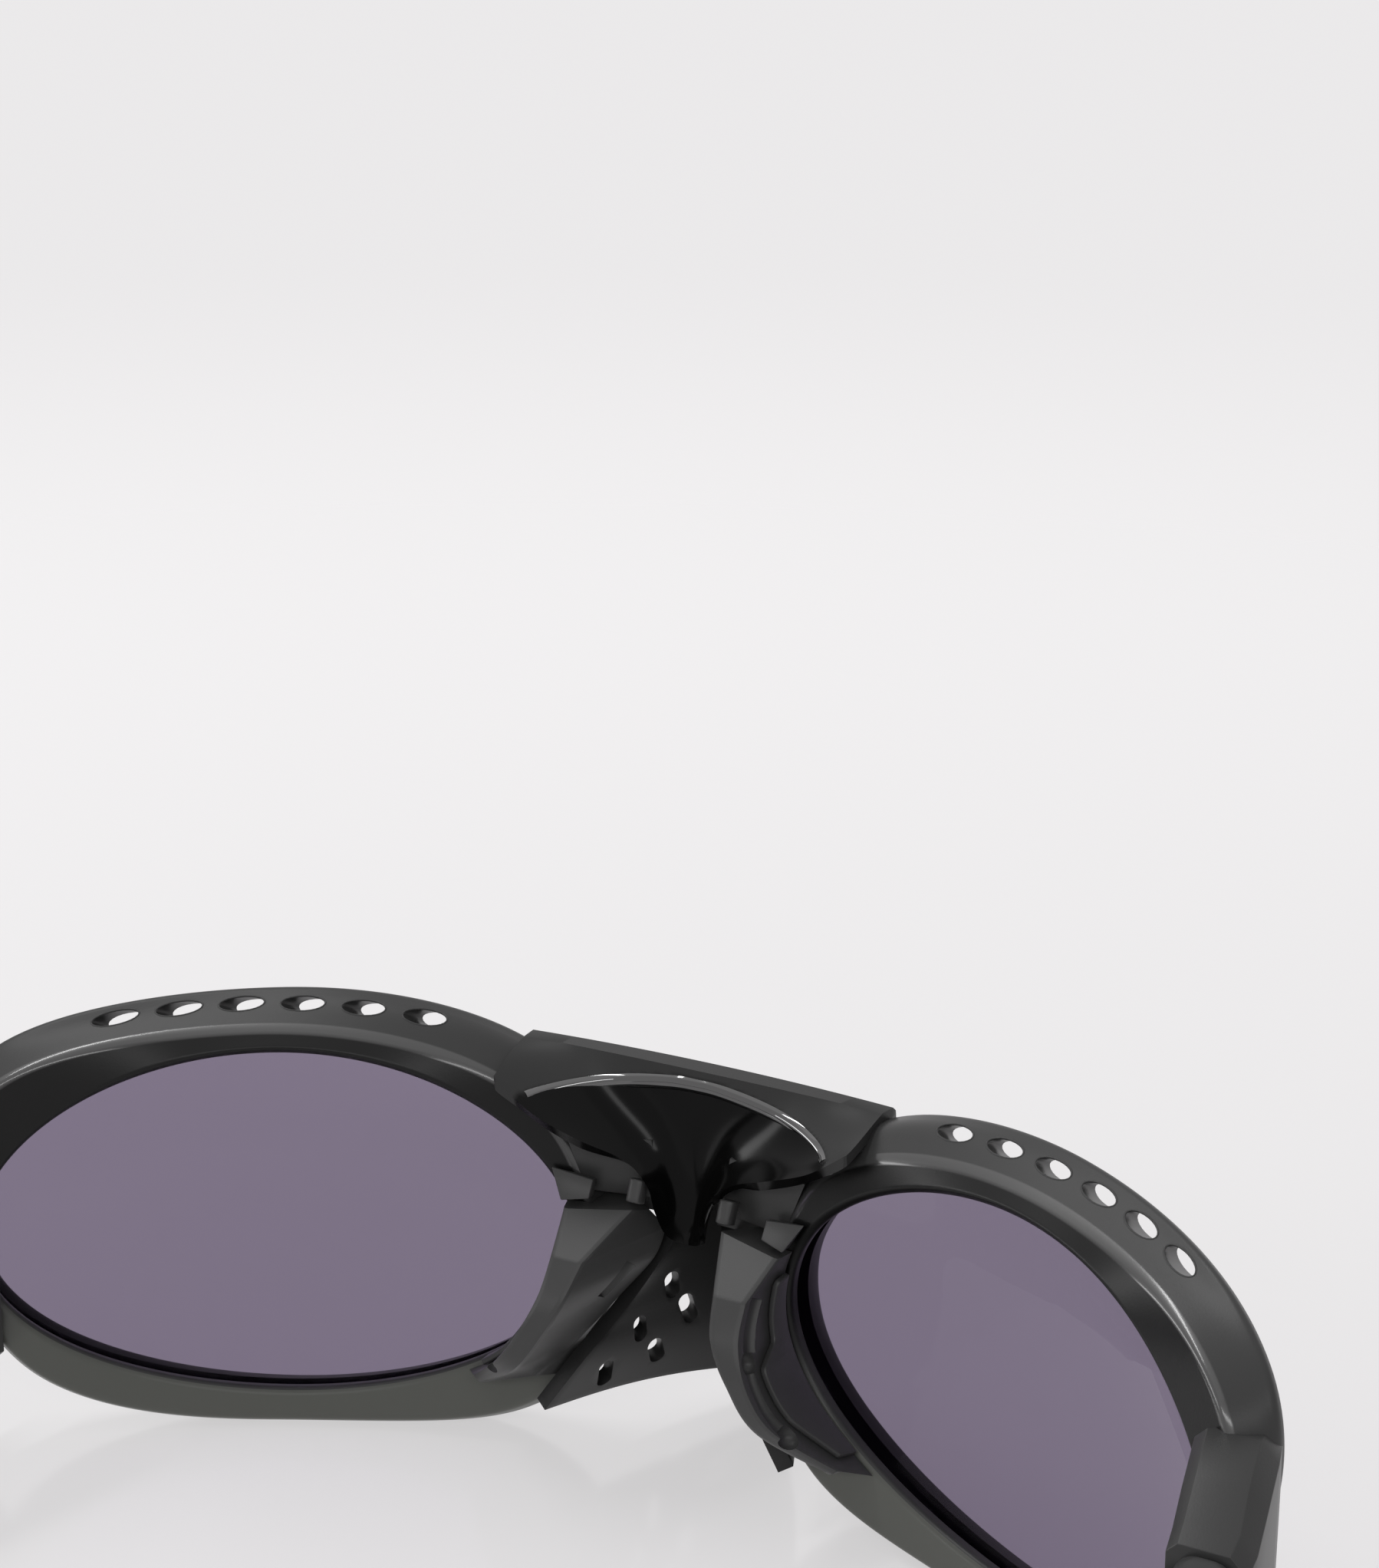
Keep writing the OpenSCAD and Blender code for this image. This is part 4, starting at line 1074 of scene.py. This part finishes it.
class SUNGLASSES_OT_stage(bpy.types.Operator):
    """Floor, backdrop, lamps and camera"""
    bl_idname = "sunglasses.stage"
    bl_label = "Stage"

    def execute(self, context):
        sizes = context.scene.sunglasses_sizes
        pale = (1, 0.985, 0.993)
        floor = Finish("pale_floor", Roughness=0.16, Specular_IOR_Level=0.5, IOR=1.45)
        floor.set("Base Color", grey(sizes.floor_level * FLOOR_SHARE, pale))
        floor.set("Emission Color", grey(sizes.floor_level, pale))
        floor.set("Emission Strength", FLOOR_GLOW)
        spot = floor.node("ShaderNodeVectorMath", {"operation": "LENGTH"}, {0: floor.where()}, output=1)
        near, far = FLOOR_FADE
        floor.set("Alpha", floor.node("ShaderNodeMapRange", {"interpolation_type": "SMOOTHSTEP"},
                                      {"Value": spot, "From Min": near, "From Max": far, "To Min": 1.0,
                                       "To Max": 0.0}))
        mesh = bpy.data.meshes.new("floor")
        corners = ((-1, -1), (1, -1), (1, 1), (-1, 1))
        mesh.from_pydata([(x * FLOOR_HALF, y * FLOOR_HALF, 0) for x, y in corners], [], [(0, 1, 2, 3)])
        ground = bpy.data.objects.new("floor", mesh)
        context.scene.collection.objects.link(ground)
        put_on(ground, floor.material)
        self.world(context, grey(sizes.back_level, pale))
        self.lamp("softbox", (0.05, -0.1, 1.1), (0, -0.05, 0), 2.0, 1.6, 2.7)
        self.lamp("strip", (0.48, -0.12, 0.95), (0, -0.06, 0.03), 0.8, 0.06, 3.0)
        self.lamp("left_crease", (-0.32, 0.82, 0.6), (0.02, -0.06, 0.03), 1.3, 0.12, 3.2)
        self.lamp("right_crease", (1.0, 0.28, 0.28), (-0.02, -0.06, 0.03), 1.3, 0.12, 3.2)
        self.camera(context)
        return {"FINISHED"}

    def world(self, context, seen):
        """A pale wall where it is seen straight, through a lens or mirrored, and a dim room for the light."""
        world = context.scene.world or bpy.data.worlds.new("studio")
        context.scene.world = world
        world.use_nodes = True
        tree = world.node_tree
        room = next(n for n in tree.nodes if n.type == "BACKGROUND")
        room.inputs["Color"].default_value = (1, 1, 1, 1)
        room.inputs["Strength"].default_value = ROOM_LIGHT
        wall = tree.nodes.new("ShaderNodeBackground")
        wall.inputs["Color"].default_value = seen
        path = tree.nodes.new("ShaderNodeLightPath")
        any_of = path.outputs["Is Camera Ray"]
        for name in ("Is Transmission Ray", "Is Glossy Ray"):
            either = tree.nodes.new("ShaderNodeMath")
            either.operation = "MAXIMUM"
            tree.links.new(any_of, either.inputs[0])
            tree.links.new(path.outputs[name], either.inputs[1])
            any_of = either.outputs[0]
        mix = tree.nodes.new("ShaderNodeMixShader")
        tree.links.new(any_of, mix.inputs[0])
        tree.links.new(room.outputs[0], mix.inputs[1])
        tree.links.new(wall.outputs[0], mix.inputs[2])
        end = next(n for n in tree.nodes if n.type == "OUTPUT_WORLD")
        tree.links.new(mix.outputs[0], end.inputs["Surface"])

    def lamp(self, name, at, to, wide, deep, power):
        """A plain rectangular lamp, turned towards a point."""
        data = bpy.data.lights.new(name, "AREA")
        data.shape = "RECTANGLE"
        data.size = wide
        data.size_y = deep
        data.energy = power
        lamp = bpy.data.objects.new(name, data)
        bpy.context.scene.collection.objects.link(lamp)
        lamp.location = at
        lamp.rotation_euler = (Vector(to) - Vector(at)).to_track_quat("-Z", "Y").to_euler()

    def camera(self, context):
        """The photograph's camera."""
        turn, rise = math.radians(27.7595), math.radians(20.0)
        back = Vector((-math.sin(turn) * math.cos(rise), math.cos(turn) * math.cos(rise), math.sin(rise)))
        right = Vector((-math.cos(turn), -math.sin(turn), 0))
        up = Vector((math.sin(turn) * math.sin(rise), -math.cos(turn) * math.sin(rise), math.cos(rise)))
        data = bpy.data.cameras.new("photo")
        data.sensor_fit = "HORIZONTAL"
        data.sensor_width = 36
        data.lens = FOCAL / PHOTO_W * data.sensor_width
        camera = bpy.data.objects.new("photo", data)
        context.scene.collection.objects.link(camera)
        turned = Matrix((right, up, back)).transposed().to_4x4()
        camera.matrix_world = Matrix.Translation(Vector((-0.143519, 0.208658, 0.17993))) @ turned
        context.scene.camera = camera
        context.scene.view_settings.view_transform = "Standard"


class SUNGLASSES_PT_panel(bpy.types.Panel):
    """Pieces of the sunglasses"""
    bl_idname = "SUNGLASSES_PT_panel"
    bl_label = "Sunglasses"
    bl_space_type = "VIEW_3D"
    bl_region_type = "UI"
    bl_category = "Sunglasses"

    def draw(self, context):
        for group in (context.scene.sunglasses_finish, context.scene.sunglasses_sizes):
            for key in group.__annotations__:
                self.layout.prop(group, key)
        for step in STEPS:
            self.layout.operator(step.bl_idname)


STEPS = (SUNGLASSES_OT_rims, SUNGLASSES_OT_cover, SUNGLASSES_OT_lenses, SUNGLASSES_OT_shield,
         SUNGLASSES_OT_pads, SUNGLASSES_OT_arms, SUNGLASSES_OT_hinges, SUNGLASSES_OT_stage)
GROUPS = (SunglassesFinish, SunglassesSizes)


def register():
    for kind in GROUPS + STEPS + (SUNGLASSES_PT_panel,):
        bpy.utils.register_class(kind)
    bpy.types.Scene.sunglasses_finish = bpy.props.PointerProperty(type=SunglassesFinish)
    bpy.types.Scene.sunglasses_sizes = bpy.props.PointerProperty(type=SunglassesSizes)


def unregister():
    del bpy.types.Scene.sunglasses_finish, bpy.types.Scene.sunglasses_sizes
    for kind in reversed(GROUPS + STEPS + (SUNGLASSES_PT_panel,)):
        bpy.utils.unregister_class(kind)


def main():
    """Builds every piece over the frame."""
    register()
    for step in STEPS:
        group, name = step.bl_idname.split(".")
        getattr(getattr(bpy.ops, group), name)()


if __name__ == "__main__":
    main()
